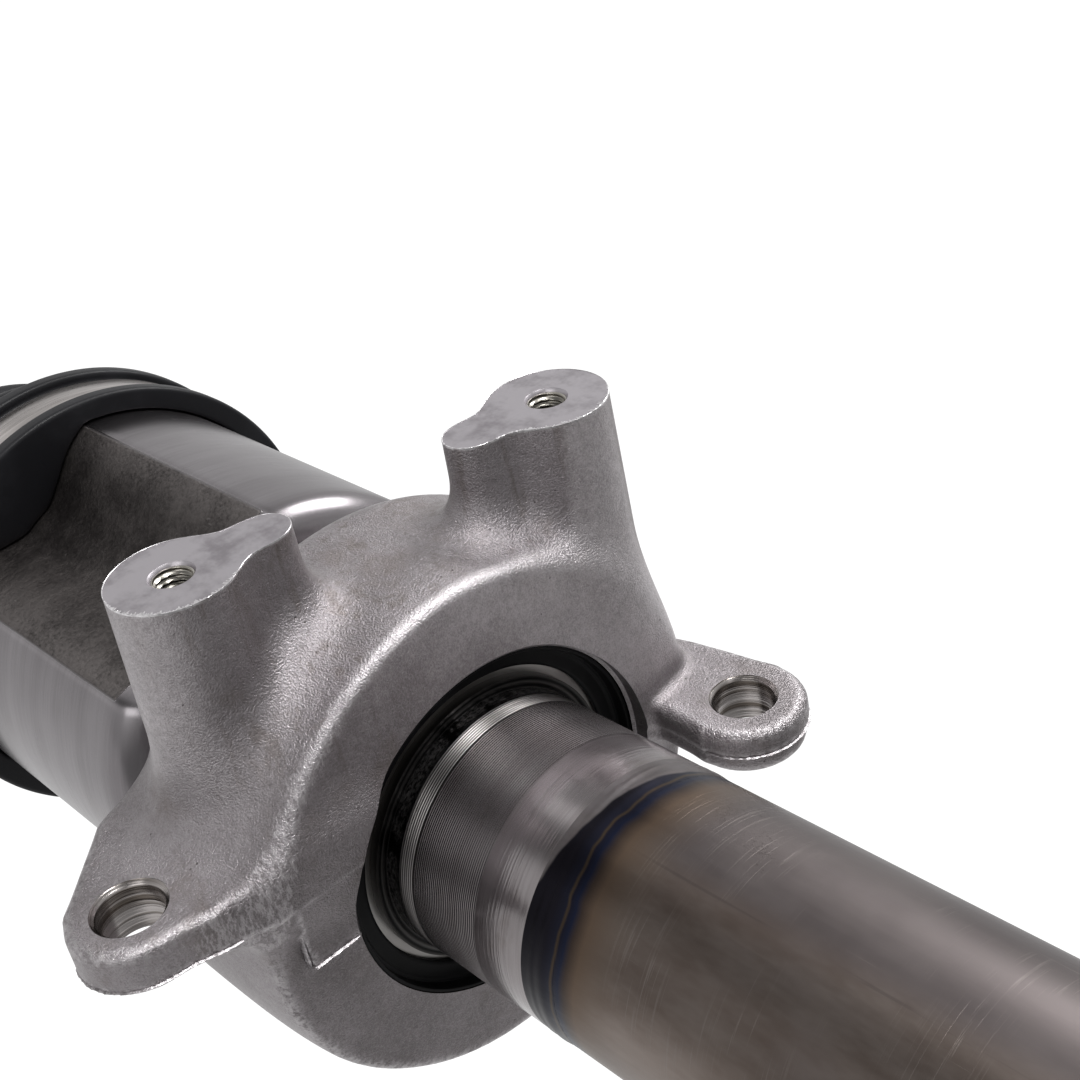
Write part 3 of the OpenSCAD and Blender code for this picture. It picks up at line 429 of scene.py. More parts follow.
colour = (painted_light.step(0.0, 1.0) * 0.7).mix(colour, shade.mix((0.370, 0.344, 0.352), (0.720, 0.680, 0.700)))
colour = (rubbed * 0.8).mix(colour, (0.66, 0.63, 0.645))
colour = (fettled.step(0.42, 0.60) * 0.5).mix(colour, (0.58, 0.55, 0.565))
colour = (pits * 0.7).mix(colour, (0.06, 0.05, 0.045))
height = grain * 0.00020 + lumps * 0.00010 + rubbed * 6e-5 + fettled * 0.00025 - pits * 0.0001
join(shader, Base_Color=colour, Roughness=0.38 - rubbed * 0.12 + pits * 0.2 + oily * 0.08, bump=height)
bracket.data.materials.clear()
bracket.data.materials.append(cast)

milled, spot, shader = finish("machined_aluminium", 1.0)
x, y, z, rho = radial(spot)
marks = spot.vector(x, y * 0.15, z * 4).noise(2200)
smudge = spot.noise(150, 4.0, 0.65).step(0.42, 0.72)
colour = smudge.mix((0.470, 0.444, 0.468), (0.290, 0.268, 0.286))
# Down inside the tapped holes, from 31 to 58.5 mm up, the surface is painted dark: painted shade.
hole_shade = z.step(0.0597, 0.0585) * z.step(0.030, 0.031)
colour = hole_shade.mix(colour, (0.10, 0.085, 0.06))
bore = z.step(0.0285, 0.0275)
feed = spot.vector(x * 0.03, y * 0.03, z).noise(700, 3.0, 0.7)
colour = bore.mix(colour, feed.step(0.35, 0.62).mix((0.13, 0.11, 0.095), (0.46, 0.43, 0.42)))
join(shader, Base_Color=colour, Roughness=marks * 0.14 + 0.33 - bore * 0.18,
     bump=marks * 1e-5 + feed * bore * 0.00022)
bracket.data.materials.append(milled)
centre = (numbers(bracket.data.polygons, "center") - (ring_front, 0, 0)) * 1000
normal = numbers(bracket.data.polygons, "normal")
machined = (centre[:, 2] > boss_h - 0.01) & (normal[:, 2] > 0.9)
machined |= (np.hypot(centre[:, 1], centre[:, 2]) < bearing_r + 0.05) & (centre[:, 0] < -1.2)
for hole, r in ((left_ear, 6.0), (right_ear, 6.0), (left_boss, 3.6), (right_boss, 3.6)):
    machined |= (np.hypot(centre[:, 0] - hole[0], centre[:, 1] - hole[1]) < r) & (normal[:, 2] < 0.9)
bracket.data.polygons.foreach_set("material_index", machined.astype(np.int32))
fit(bracket, "bracket", cast, ["bearing_bracket"], 40)

# Burr that the mill leaves along the side of each boss top where it runs out
shiny, spot, shader = finish("fresh_aluminium", 1.0)
bits = spot.noise(1500, 2.0, 0.6).step(0.3, 0.7)
join(shader, Base_Color=bits.mix((0.55, 0.53, 0.54), (0.86, 0.84, 0.85)), Roughness=0.3)
rng = np.random.default_rng(7)


def wander(count, waves, sizes):
    """A smooth random line round a closed loop: a sum of sines with random phases."""
    t = circle(count)
    return sum(size * np.sin(wave * t + rng.uniform(0, 2 * math.pi)) for wave, size in zip(waves, sizes))


def edge_from(distance, centre, angles):
    """How far from a centre, along each angle in plan, the distance turns positive: ever smaller steps outwards,
    each taken only while the next point is still inside."""
    r = np.full(len(angles), 5.3)
    for step in (4, 2, 1, 0.5, 0.25, 0.12, 0.06, 0.03):
        for _ in range(4):
            far = r + step
            r = r + step * (distance(centre[0] + far * np.cos(angles), centre[1] + far * np.sin(angles)) < 0)
    return r


for name, centre, turn in (("left_boss_burr", left_boss, left_turn),
                           ("right_boss_burr", right_boss, right_turn)):
    a = circle(480)
    r = edge_from(lambda u, v: boss_outline(u, v, centre, turn, 0.0), centre, a)
    near = np.clip(np.cos(a - math.radians(-25)) * 1.5 - 0.1, 0, 1)
    ragged = wander(480, (9, 23, 47, 95, 140), (0.25, 0.3, 0.3, 0.35, 0.35))
    width = 0.08 + 0.62 * near * np.clip(0.45 + ragged, 0.0, 1.4)
    section = np.array([[0.06, -0.25], [0.05, 0.02], [-0.3, 0.07], [-1.0, 0.012], [-1.0, -0.25]])
    reach = r + section[:, :1] * np.where(section[:, :1] < 0, width, 1.0)
    points = np.stack([centre[0] + reach * np.cos(a), centre[1] + reach * np.sin(a),
                       boss_h + section[:, 1:] + 0 * a], -1)
    fit(sheet(name, points, loop=True), "bracket", shiny)


def ridge(name, path, width, height, facing, material):
    """A low fin: a triangle of this width and height is carried along a path, standing out towards facing; it
    thins out at both ends and its size wanders between them."""
    path = np.asarray(path, float)
    length = np.r_[0, np.cumsum(np.linalg.norm(np.diff(path, axis=0), axis=1))]
    t = np.linspace(0, length[-1], int(length[-1] / 0.35))
    line = np.stack([np.interp(t, length, path[:, i]) for i in range(3)], 1)
    facing = np.asarray(facing, float) + 0 * path
    up = np.stack([np.interp(t, length, facing[:, i]) for i in range(3)], 1)
    side = np.cross(np.gradient(line, axis=0), up)
    side /= np.linalg.norm(side, axis=1)[:, None]
    size = np.minimum(1, np.minimum(t, length[-1] - t) / 1.2 + 0.15)[:, None]
    uneven = np.interp(t, np.linspace(0, length[-1], 240), wander(240, (11, 29, 61), (0.5, 0.6, 0.5)))
    size = size * (1 + 0.35 * uneven[:, None])
    rows = [line - side * width * size - up * 0.6, line - side * width * 0.5 * size, line + up * height * size,
            line + side * width * 0.5 * size, line + side * width * size - up * 0.6]
    fit(sheet(name, np.stack(rows, 1), caps=True), "bracket", material, sharp=60)


flash, spot, shader = finish("parting_flash", 0.95)
tone = spot.noise(1300, 3.0, 0.7).step(0.35, 0.65)
join(shader, Base_Color=tone.mix((0.30, 0.28, 0.285), (0.66, 0.63, 0.645)), Roughness=0.42,
     bump=tone * 4e-5)
ridge("face_parting_line", [(0.05, -30.9, 0.0), (0.05, -39.4, 0.1), (0.05, -40.0, 0.9), (0.05, -40.1, 11.5),
                            (0.0, -40.6, 13.0), (-0.3, -43, 13.3)], 0.3, 0.28, (1, 0, 0), flash)
for name, centre, first, last, height in (("left_ear_parting", left_ear, -158, 40, left_parting),
                                          ("right_ear_parting", right_ear, -88, 118, right_parting)):
    a = np.radians(np.arange(first, last, 1.5))
    r = edge_from(lambda u, v: casting_distance(np.stack([u, v, height + 0.5 + 0 * u], -1)), centre, a)
    path = np.stack([centre[0] + r * np.cos(a), centre[1] + r * np.sin(a), height + 0 * a], -1)
    out = np.stack([np.gradient(path[:, 1]), -np.gradient(path[:, 0]), 0 * a], -1)
    ridge(name, path, 0.3, 0.22, out / np.linalg.norm(out, axis=1)[:, None], flash)


# Threads in the bosses
# M6 threads cut into the casting; bolts for brackets and covers screw in from above.
thread_pitch, thread_core, thread_root = 1.0, 2.55, 3.02
thread_steel, spot, shader = finish("cut_thread", 1.0)
x, y, z, rho = radial(spot)
lit = z.step(0.0545, 0.0597)
join(shader, Base_Color=lit.mix((0.020, 0.017, 0.013), (0.42, 0.40, 0.36)), Roughness=0.28)
for name, centre in (("left_boss_thread", left_boss), ("right_boss_thread", right_boss)):
    z = np.arange(boss_h - 15.5, boss_h - 0.55, 0.1)
    a = circle(48)
    turn_on = ((z[:, None] - a * thread_pitch / (2 * math.pi)) / thread_pitch) % 1
    hollow = np.clip(np.abs(turn_on - 0.5) * 2.6 - 0.25, 0, 1)
    r = thread_root - (thread_root - thread_core) * hollow * np.clip((boss_h - 0.5 - z[:, None]) / 0.6, 0, 1)
    r = np.concatenate([r, np.full((2, 48), 3.3)])
    z = np.concatenate([z, [boss_h - 0.55, boss_h - 15.5]])
    points = np.stack([centre[0] + r * np.cos(a), centre[1] + r * np.sin(a), z[:, None] + 0 * a], -1)
    fit(sheet(name, points, loop=True), "bracket", thread_steel, sharp=50)


def dress(material, *names):
    """Gives solids that keep their own shape this material."""
    for name in names:
        nodes[name].data.materials.clear()
        nodes[name].data.materials.append(material)


def turned_steel(name, dark, light, roughness, lines=2200, depth=6e-6):
    """Steel turned or ground about the shaft: fine rings, with slow changes of tone round it."""
    material, spot, shader = finish(name, 1.0)
    x, y, z, rho = radial(spot)
    rings = spot.vector(x, y * 0.03, z * 0.03).noise(lines, 3.0, 0.65)
    cloud = spot.noise(55)
    join(shader, Base_Color=(rings * 0.6 + cloud * 0.4).step(0.3, 0.7).mix(dark, light),
         Roughness=rings * 0.12 + (roughness - 0.06), bump=rings * depth)
    return material


def plain_steel(name, dark, light, roughness, metallic=1.0, grain=3e-5, scale=900, coat=0.0):
    """Steel with a treated or painted skin: a fine grain and clouds of tone."""
    material, spot, shader = finish(name, metallic, coat)
    fine, cloud = spot.noise(scale, 3.0, 0.6), spot.noise(70, 4.0, 0.65)
    join(shader, Base_Color=(fine * 0.4 + cloud * 0.6).step(0.32, 0.68).mix(dark, light),
         Roughness=fine * 0.14 + (roughness - 0.07), bump=fine * grain)
    return material


# Centre bearing
# A sealed ball bearing: hardened and ground races, twelve balls in a pressed cage, and a black rubber seal with
# two lips on each side. A lugged ring holds it in the bracket, a circlip holds it on the shaft.
race = turned_steel("ground_race", (0.29, 0.275, 0.265), (0.43, 0.415, 0.40), 0.3)
black_ring = plain_steel("phosphated_steel", (0.012, 0.012, 0.012), (0.035, 0.033, 0.03), 0.38)
ball_steel = plain_steel("ball_steel", (0.34, 0.34, 0.35), (0.42, 0.42, 0.43), 0.12, grain=0.0)
dress(race, "bearing_outer_race", "bearing_inner_race")
dress(ball_steel, "bearing_balls")
dress(plain_steel("cage_steel", (0.16, 0.145, 0.12), (0.24, 0.22, 0.18), 0.34), "bearing_cage")
dress(black_ring, "bracket_snap_ring")
ribbed, spot, shader = finish("ribbed_black_steel", 1.0)
x, y, z, rho = radial(spot)
# The ribs are a bump; their crests are also painted lighter, a painted highlight.
ribs_and_sheen = (rho * (2 * math.pi / 0.0011)).math("SINE") * 0.5 + 0.5
join(shader, Base_Color=ribs_and_sheen.mix((0.006, 0.006, 0.006), (0.060, 0.057, 0.055)), Roughness=0.34,
     bump=ribs_and_sheen * 0.0001)
dress(ribbed, "shaft_circlip")
dress(turned_steel("zinc_plate", (0.33, 0.32, 0.30), (0.46, 0.45, 0.42), 0.34, 900), "dust_shield")

rubber, spot, shader = finish("rubber", 0.0)
bloom = spot.noise(60, 4.0, 0.6).step(0.45, 0.8)
fine = spot.noise(1700, 2.0, 0.6)
join(shader, Base_Color=bloom.mix((0.0075, 0.0075, 0.0090), (0.015, 0.015, 0.0175)),
     Roughness=fine * 0.16 + bloom * 0.1 + 0.34, Specular_IOR_Level=0.22, bump=fine * 2e-5)
seal_rubber, spot, shader = finish("seal_rubber", 0.0)
join(shader, Base_Color=spot.noise(300).mix((0.002, 0.002, 0.0023), (0.006, 0.006, 0.0065)),
     Roughness=0.45, Specular_IOR_Level=0.10)


def rounded(corners, r, steps=5):
    """A closed outline through corners, each corner replaced by a curve that starts and ends r away from it."""
    corners = np.asarray(corners, float)
    reach = []
    for e in (np.roll(corners, 1, 0) - corners, np.roll(corners, -1, 0) - corners):
        reach.append(e * np.minimum(r / np.linalg.norm(e, axis=1), 0.45)[:, None])
    t = np.linspace(0, 1, steps)[:, None, None]
    return (corners + (1 - t) ** 2 * reach[0] + t ** 2 * reach[1]).transpose(1, 0, 2).reshape(-1, 2)


def ring(name, body, slot, material, outline, segments, replaces=()):
    """A closed outline (x, radius) carried round the shaft as one piece."""
    fit(sheet(name, turned(outline, segments), loop=True), body, material, replaces)


bearing_front, bearing_w = -ring_lip - 0.2, 16.0
front_lip = [(-6.3, 27.75), (-4.5, 27.75), (-4.28, 27.55), (-4.28, 26.0), (-3.6, 26.0), (-3.3, 26.5),
             (-3.3, 28.6), (-2.9, 28.9), (-2.9, 29.4), (-0.8, 29.6), (-0.8, 30.2), (-4.25, 30.2),
             (-4.6, 31.1), (-6.3, 31.1)]
back_lips = [(-0.1, 27.75), (-0.1, 28.3), (-0.75, 28.6), (-0.75, 29.2), (-0.15, 29.5), (-0.15, 31.2),
             (-0.9, 31.5), (-0.9, 32.6), (-1.6, 32.6), (-1.6, 27.75)]
ring("inboard_seal_lips", "bracket", "rubber", seal_rubber, rounded(front_lip, 0.18), 144, ["inboard_seal"])
back = bearing_front - bearing_w + 0.35
back_lips = [(back - x, r) for x, r in back_lips]
ring("outboard_seal_lips", "bracket", "rubber", seal_rubber, rounded(back_lips, 0.18), 144, ["outboard_seal"])


# Shaft end and housing
# One steel forging: the three-lobed housing of the inner joint, its stem through the bearing and the turned
# end that the tube is welded to. Lobes, seat and end are machined, the hollows between the lobes stay as forged.
lobe_r, hollow_r, lobe_angle = 40.65, 29.0, math.radians(56.5)
track_circle_r, track_r, cavity_r, core_r, lobe_wall = 25.0, 18.0, 35.6, 24.0, 4.5
housing_start, housing_l, housing_base = 49.0, 84.0, 12.0
stem_r, stem_front, shoulder_r, tube_in_r = 22.5, 28.0, 26.0, 18.4
neck_r, shoulder_l = hollow_r - 2.4, 8


def around_track(angle, r):
    """Radius at which a ray from the shaft axis leaves the circle of radius r round the nearest track."""
    a = np.abs((angle - lobe_angle + math.pi / 3) % (2 * math.pi / 3) - math.pi / 3)
    return track_circle_r * np.cos(a) + np.sqrt(np.maximum(r ** 2 - (track_circle_r * np.sin(a)) ** 2, 0))


def housing_radius(angle, grow=0.0):
    """Outside of the housing: the track walls, kept between the hollows' floor and the lobes' rim."""
    wall = around_track(angle, track_r + lobe_wall + grow)
    wall = -soft_join(-wall, -(hollow_r + grow) + 0 * angle, 6.0)
    return soft_join(wall, lobe_r + grow + 0 * angle, 0.7)


def cavity_radius(angle):
    """Inside of the housing: the core, widened by the three tracks as far as the tracks' outer walls."""
    return np.minimum(np.maximum(around_track(angle, track_r), core_r), cavity_r)


housing_end = -housing_start - housing_l
a = circle(432)
outside, inside = housing_radius(a), cavity_radius(a)
groove_x0, grooves_n, groove_d = 0.3, 7, 0.1
groove_l = 3.3 / grooves_n
fine_end, fine_drop, stem_bore, clip_w, clip_d = 17.8, 0.02, 14, 1.75, 1.2
grooves = [(groove_x0 + i * groove_l / 2, stem_r - groove_d * (i % 2)) for i in range(2 * grooves_n + 1)]
stem = [(stem_front - stem_bore, 0.01), (stem_front - stem_bore, tube_in_r), (stem_front, tube_in_r),
        (stem_front, stem_r), (fine_end + 0.05, stem_r), (fine_end - 0.05, stem_r - fine_drop),
        (3.8, stem_r - fine_drop)] + grooves[::-1]
stem += [(0.25, stem_r), (bearing_front + clip_w, stem_r), (bearing_front + clip_w, stem_r - clip_d),
         (bearing_front, stem_r - clip_d),
         (bearing_front, stem_r), (bearing_front - bearing_w, stem_r), (bearing_front - bearing_w, shoulder_r),
         (-housing_start + 7, shoulder_r), (-housing_start + 1, neck_r)]
stations = [(x, r + 0 * a) for x, r in stem]
for share in np.linspace(0, math.pi / 2, 9):
    s, c = math.sin(share), math.cos(share)
    stations.append((-housing_start + 1 - shoulder_l * (1 - c), neck_r * (1 - s) + outside * s))
stations += [(x, outside) for x in np.linspace(-housing_start - 10, housing_end + 1, 12)]
stations += [(housing_end, outside - 1.1), (housing_end, inside + 1.5), (housing_end + 1.5, inside)]
stations += [(x, inside) for x in np.linspace(housing_end + 6, -housing_start - housing_base, 10)]
stations += [(-housing_start - housing_base, 0.4 * inside), (-housing_start - housing_base, 0.01 + 0 * a)]
housing = sheet("tulip_and_stem", np.stack([carried(x, r, a) for x, r in stations]), caps=True)

shaft_end, spot, shader = finish("machined_steel", 1.0)
x, y, z, rho = radial(spot)
rings = spot.vector(x, y * 0.03, z * 0.03)
lines = rings.noise(2600, 2.0, 0.5)
band_tone = rings.noise(190, 2.0, 0.5)
cloud = spot.noise(38, 3.0, 0.55)
stem_zone = x.step(-0.001, 0.0)
seat = x.step(0.0004, 0.0001) * x.step(-0.012, -0.010)
fine_turned = x.step(0.0034, 0.0037) * x.step(0.0181, 0.0177)
in_grooves = x.step(0.0002, 0.0004) * x.step(0.0038, 0.0036)
hollows = x.step(-0.0558, -0.0564) + rho.step(0.0318, 0.0308) * x.step(-0.044, -0.047)
forged = rho.step(0.04045, 0.0402) * hollows.step(0.0, 1.0)
base = (lines * 0.25 + band_tone * 0.3 + cloud * 0.45).step(0.34, 0.66)
ground = base.mix((0.235, 0.212, 0.214), (0.335, 0.312, 0.317))
dull = base.mix((0.205, 0.184, 0.185), (0.300, 0.281, 0.285))
lobe = base.mix((0.215, 0.200, 0.208), (0.285, 0.268, 0.279))
stain = spot.vector(x * 0.35, y, z).noise(70).step(0.5, 0.75) * z.step(0.01, -0.01)
lobe = (stain * 0.3).mix(lobe, (0.185, 0.140, 0.105))
colour = stem_zone.mix(lobe, ground)
colour = fine_turned.mix(colour, dull)
rust = spot.vector(x, y * 0.5, z * 0.5).noise(120, 4.0, 0.7).step(0.56, 0.74) * stem_zone
colour = (rust * 0.35).mix(colour, (0.110, 0.080, 0.062))
# Each groove's one facet is painted dark by groove_shade, a painted shade, and its other facet is painted light,
# a painted highlight.
groove_shade = ((x - groove_x0 * 0.001) * (2000 * math.pi / groove_l)).math("SINE").step(0.75, 0.30) * in_grooves
colour = groove_shade.mix((in_grooves * (1 - groove_shade)).mix(colour, (0.250, 0.237, 0.233)), (0.030, 0.027, 0.026))
scuff = spot.vector(x, y * 0.5, z * 0.5).noise(2300, 4.0, 0.8).step(0.36, 0.68)
scuff = scuff * spot.noise(190, 4.0, 0.75).step(0.38, 0.54)
colour = seat.mix(colour, scuff.mix((0.010, 0.010, 0.010), (0.50, 0.48, 0.485)))
mottle = spot.noise(55, 5.0, 0.7)
scale_grain = spot.noise(1300, 4.0, 0.7)
near_edge = rho.step(0.0345, 0.0400)
raw = (mottle * 0.7 + scale_grain * 0.3).step(0.38, 0.66)
raw = raw.mix((0.044, 0.039, 0.038), (0.125, 0.113, 0.109))
raw = (near_edge * (mottle * 0.4 + scale_grain * 0.6).step(0.30, 0.6)).mix(raw, (0.165, 0.150, 0.146))
nick = spot.vector(x * 0.3, y, z).noise(420, 2.0, 0.8).step(0.73, 0.76) * near_edge
raw = (nick * 0.7).mix(raw, (0.34, 0.32, 0.31))
colour = forged.mix(colour, raw)
wave = (x * (2 * math.pi / 0.00042)).math("SINE")
level = 0.29 - lines * 0.06 + fine_turned * 0.05 + forged * 0.26 + seat * 0.05 + in_grooves * 0.12
height = lines * (4e-6 + stem_zone * (1 - fine_turned) * 2.8e-5) + wave * fine_turned * 1.7e-5
height = height + forged * (scale_grain * 0.00016 + mottle * 0.0009)
join(shader, Base_Color=colour, Roughness=level - stem_zone * 0.07, bump=height)
fit(housing, "shaft", shaft_end, ["tulip_housing"], 30)


# Tube and its friction welds
# A drawn steel tube, friction-welded to the stem at one end and to the splined stub at the other; the welds are
# turned flush and keep their heat tint. The tube has handling scratches and a faint drawn seam.
weld_l, tube_r, tube_l = 6.5, 22.4, 190.0
tube_start = stem_front + weld_l
tube_end = tube_start + tube_l
tube_steel, spot, shader = finish("tube_steel", 1.0)
x, y, z, rho = radial(spot)
wave = spot.vector(0.0, y, z).noise(60)
front = 0.0318 + y * 0.17 - wave * 0.0025
edge = x - wave * 0.004 + 0.002
far = (x - (tube_end + 2) * 0.001).math("ABSOLUTE")
scale_tone = spot.vector(x * 0.4, y, z).noise(110, 4.0, 0.65)
clouds = scale_tone.step(0.3, 0.7)
brown = clouds.mix((0.105, 0.082, 0.071), (0.155, 0.130, 0.117))
# Below the axis the tube is painted lighter: a painted reflection of the pale floor.
brown = z.step(0.014, 0.002).mix(brown, clouds.mix((0.175, 0.138, 0.118), (0.255, 0.216, 0.194)))
seam_angle = math.radians(108)
above = y * math.sin(seam_angle) - z * math.cos(seam_angle)
brown = (above.step(-0.002, 0.004) * 0.8).mix(brown, (0.098, 0.086, 0.088))
brown = (spot.noise(34, 4.0, 0.6).step(0.46, 0.72) * 0.45).mix(brown, (0.160, 0.140, 0.136))
drawn = spot.vector(x * 0.05, y, z).noise(800, 2.0, 0.6)
seam = above.math("ABSOLUTE").step(0.00035, 0.0001) * z.step(0.0, 0.002) * drawn.step(0.35, 0.5)
blot = (spot.noise(330, 4.0, 0.8) - 0.5).math("ABSOLUTE").step(0.018, 0.006)
blot = blot * spot.noise(60, 2.0, 0.5).step(0.58, 0.66) * above.step(-0.003, 0.001)
round_scratch = spot.vector(x, y * 0.02, z * 0.02).noise(2400, 2.0, 0.8).step(0.56, 0.66)
round_scratch = round_scratch * spot.noise(60, 2.0, 0.6).step(0.44, 0.62)
long_scratch = spot.vector(x * 0.02, y, z).noise(1900, 2.0, 0.8).step(0.66, 0.74)
long_scratch = long_scratch * spot.noise(55, 2.0, 0.6).step(0.50, 0.60)
colour = (round_scratch * 0.35 + long_scratch * 0.3).mix(brown, (0.24, 0.214, 0.200))
colour = ((seam * 0.4 + blot * 0.7).step(0.0, 1.0)).mix(colour, (0.060, 0.050, 0.048))
tint = [(0.0, (0.012, 0.011, 0.014)), (0.34, (0.014, 0.013, 0.018)), (0.44, (0.016, 0.017, 0.028)),
        (0.465, (0.062, 0.045, 0.031)), (0.49, (0.014, 0.014, 0.024)), (0.55, (0.014, 0.018, 0.038)),
        (0.62, (0.050, 0.037, 0.032)), (0.74, (0.122, 0.086, 0.062)), (1.0, (0.132, 0.100, 0.078))]
heat = x.node("ShaderNodeValToRGB", {"stops": tint}, 0, Fac=(edge - 0.0265) / 0.0165)
near = edge.step(0.0480, 0.0375)
colour = near.mix(colour, heat)
bare = (x - front).step(0.0005, -0.0001)
colour = bare.mix(colour, clouds.mix((0.130, 0.116, 0.116), (0.195, 0.180, 0.183)))
far_tint = far.step(0.012, 0.004)
colour = (far_tint * 0.75).mix(colour, (0.016, 0.019, 0.036))
join(shader, Base_Color=colour, Roughness=drawn * 0.10 + scale_tone * 0.14 + 0.29 - near * 0.05,
     bump=drawn * 8e-6 + (round_scratch + long_scratch) * -1e-5 + scale_tone * 5e-5)
dress(tube_steel, "intermediate_tube")


def weld(name, x0, edge_r, far_r, proud):
    """A weld's band: its outside swells by proud, and its front edge wanders along the shaft as it goes round."""
    a = circle(256)
    shift = wander(256, (1, 2, 3, 7), (0.35, 0.25, 0.12, 0.05))
    t = np.linspace(0, 1, 22)[:, None]
    r = edge_r + (far_r - edge_r) * t + proud * np.exp(-((t * weld_l - 3.6 - shift) / 1.1) ** 2)
    r = r + proud * 0.8 * np.exp(-((t * weld_l - 1.6 - shift * 1.6) / 0.5) ** 2) * t.clip(0, 0.2) * 5 * (1 - t)
    ends = np.array([[x0 + weld_l], [x0]])
    points = np.concatenate([carried(x0 + weld_l * t, r, a), carried(ends, tube_in_r + 0 * ends, a)])
    piece = sheet(name + "_weld", points, loop=True)
    fit(piece, "shaft", tube_steel, ["weld_ring_" + name])


weld("outboard", stem_front, stem_r, tube_r, 0.16)
weld("inboard", tube_end, tube_r, tube_r, 0.35)


# Inboard stub
# Turned from bar: a taper down to the ground seal journal and the rolled splines that enter the gearbox,
# with a wire ring in the groove near the tip.
dress(turned_steel("stub_steel", (0.15, 0.14, 0.138), (0.25, 0.24, 0.235), 0.26), "inboard_stub")
dress(black_ring, "inboard_snap_ring")


# Tripod
# A forged and ground spider on the bar's splines; each trunnion carries needles and a barrel roller, which a
# ring holds.
forging = plain_steel("forged_steel", (0.075, 0.068, 0.064), (0.15, 0.14, 0.13), 0.4, grain=6e-5)
ground_steel = plain_steel("ground_steel", (0.24, 0.235, 0.23), (0.33, 0.325, 0.32), 0.18, grain=0.0)
dress(forging, "tripod_spider", "outer_inner_race")
dress(ground_steel, "roller_a", "roller_b", "roller_c")
dress(ball_steel, "trunnion_needles", "outer_balls")
dress(black_ring, "roller_retainers", "spider_circlip", "race_circlip")
dress(plain_steel("cage_forging", (0.10, 0.095, 0.09), (0.17, 0.16, 0.155), 0.28), "outer_cage")


# Axle bar
# Solid bar with rolled splines at both ends, induction-hardened and dipped in black paint between the boots.
paint = plain_steel("black_paint", (0.006, 0.006, 0.0065), (0.013, 0.013, 0.014), 0.32, 0.0, 1.2e-5, 700, 0.35)
dress(paint, "axle_bar")


# Outer joint
# A forged bell, turned outside and ground in its tracks, with the splined and threaded stub for the wheel hub.
dress(turned_steel("bell_steel", (0.13, 0.122, 0.118), (0.22, 0.21, 0.205), 0.3, 1500, 1e-5), "outer_bell")
hub_thread_r, hub_pitch, hub_x0, hub_x1 = 11.0, 1.5, -632.2, -613.0
x, a = np.arange(hub_x0, hub_x1, 0.125), circle(96)
turn_on = ((x[:, None] - a * hub_pitch / (2 * math.pi)) / hub_pitch) % 1
ends = np.clip(np.minimum(x - hub_x0, hub_x1 - x) / 1.5, 0, 1)[:, None]
r = hub_thread_r - 0.08 + 0.42 * ends * np.clip(np.abs(turn_on - 0.5) * 2.5 - 0.2, 0, 1)
r, x = np.concatenate([r, np.full((2, 96), hub_thread_r - 0.8)]), np.concatenate([x, [x[-1], hub_x0]])
thread = sheet("hub_thread_turns", carried(x[:, None], r, a), loop=True)
cut_steel = turned_steel("thread_steel", (0.16, 0.15, 0.145), (0.26, 0.25, 0.245), 0.28)
fit(thread, "bell", cut_steel, sharp=50)


# Boots
# Two grease boots moulded in rubber. Each has a ribbed collar under a wide band on its joint, folds that narrow,
# and a small collar under a narrow band on the axle bar; the inner one's wide collar fills the housing's hollows.
boot_gap, boot_wall, rib_h, rib_w, collar_l, small_collar_l = 0.3, 2.2, 2.4, 4.0, 20.0, 17.0
bar_r, small_wall, fold_depth, folds_n = 13.5, 3.0, 7.0, 5
inner_start, inner_folds_l, outer_folds_l = housing_end + 15.2, 84.0, 72.0
inner_turn_l, outer_turn_l = 24.0, 22.0
outer_x, bell_r = -520.0, 45.5
outer_start = outer_x + 8
crest_r, small_crest_r = lobe_r + boot_gap + boot_wall / 2, bar_r + boot_gap + small_wall + fold_depth * 0.4
small_seat_r = small_crest_r + boot_wall / 2 - rib_h


def at_x(x):
    """A point on the shaft axis, in metres, from x in mm from the ring's front."""
    return (x * 0.001 + ring_front, 0, 0)


def folds(name, x0, l, r0, r1, part=(0, 1)):
    """A folded wall, or a part of one, from radius r0 at x0 to r1 at x0 + l: its middle line is a wave with
    round crests and narrower valleys, half the wall on each side of it; the loop is carried round the shaft."""
    t = np.linspace(*part, round(22 * folds_n * (part[1] - part[0])) + 1)
    wave = (0.5 - 0.5 * np.cos(2 * math.pi * folds_n * t)) ** 1.2
    along = (t - part[0]) / (part[1] - part[0])
    x, r = x0 + l * along, r0 + (r1 - r0) * along - fold_depth * wave * (1 - 0.35 * t)
    slope = np.gradient(r, x)
    half = boot_wall / 2 / np.sqrt(1 + slope ** 2)
    line = np.stack([x, r], 1)
    off = np.stack([-slope * half * 0.7, half], 1)
    loop = np.concatenate([line + off, (line - off)[::-1]])
    piece = sheet(name, turned(loop, 144), loop=True)
    fit(piece, None, rubber)
    return piece


def collar_outline(x0, l, seat_r, bore_r):
    """Outline of a collar from x0 over l: a rib at each end of the band's seat, and a bore."""
    s = math.copysign(rib_w, l)
    top = seat_r + rib_h
    return rounded([(x0, top), (x0 + s, top), (x0 + s, seat_r), (x0 + l - s, seat_r), (x0 + l - s, top),
                    (x0 + l, top), (x0 + l, bore_r), (x0, bore_r)], 1.1, 7)


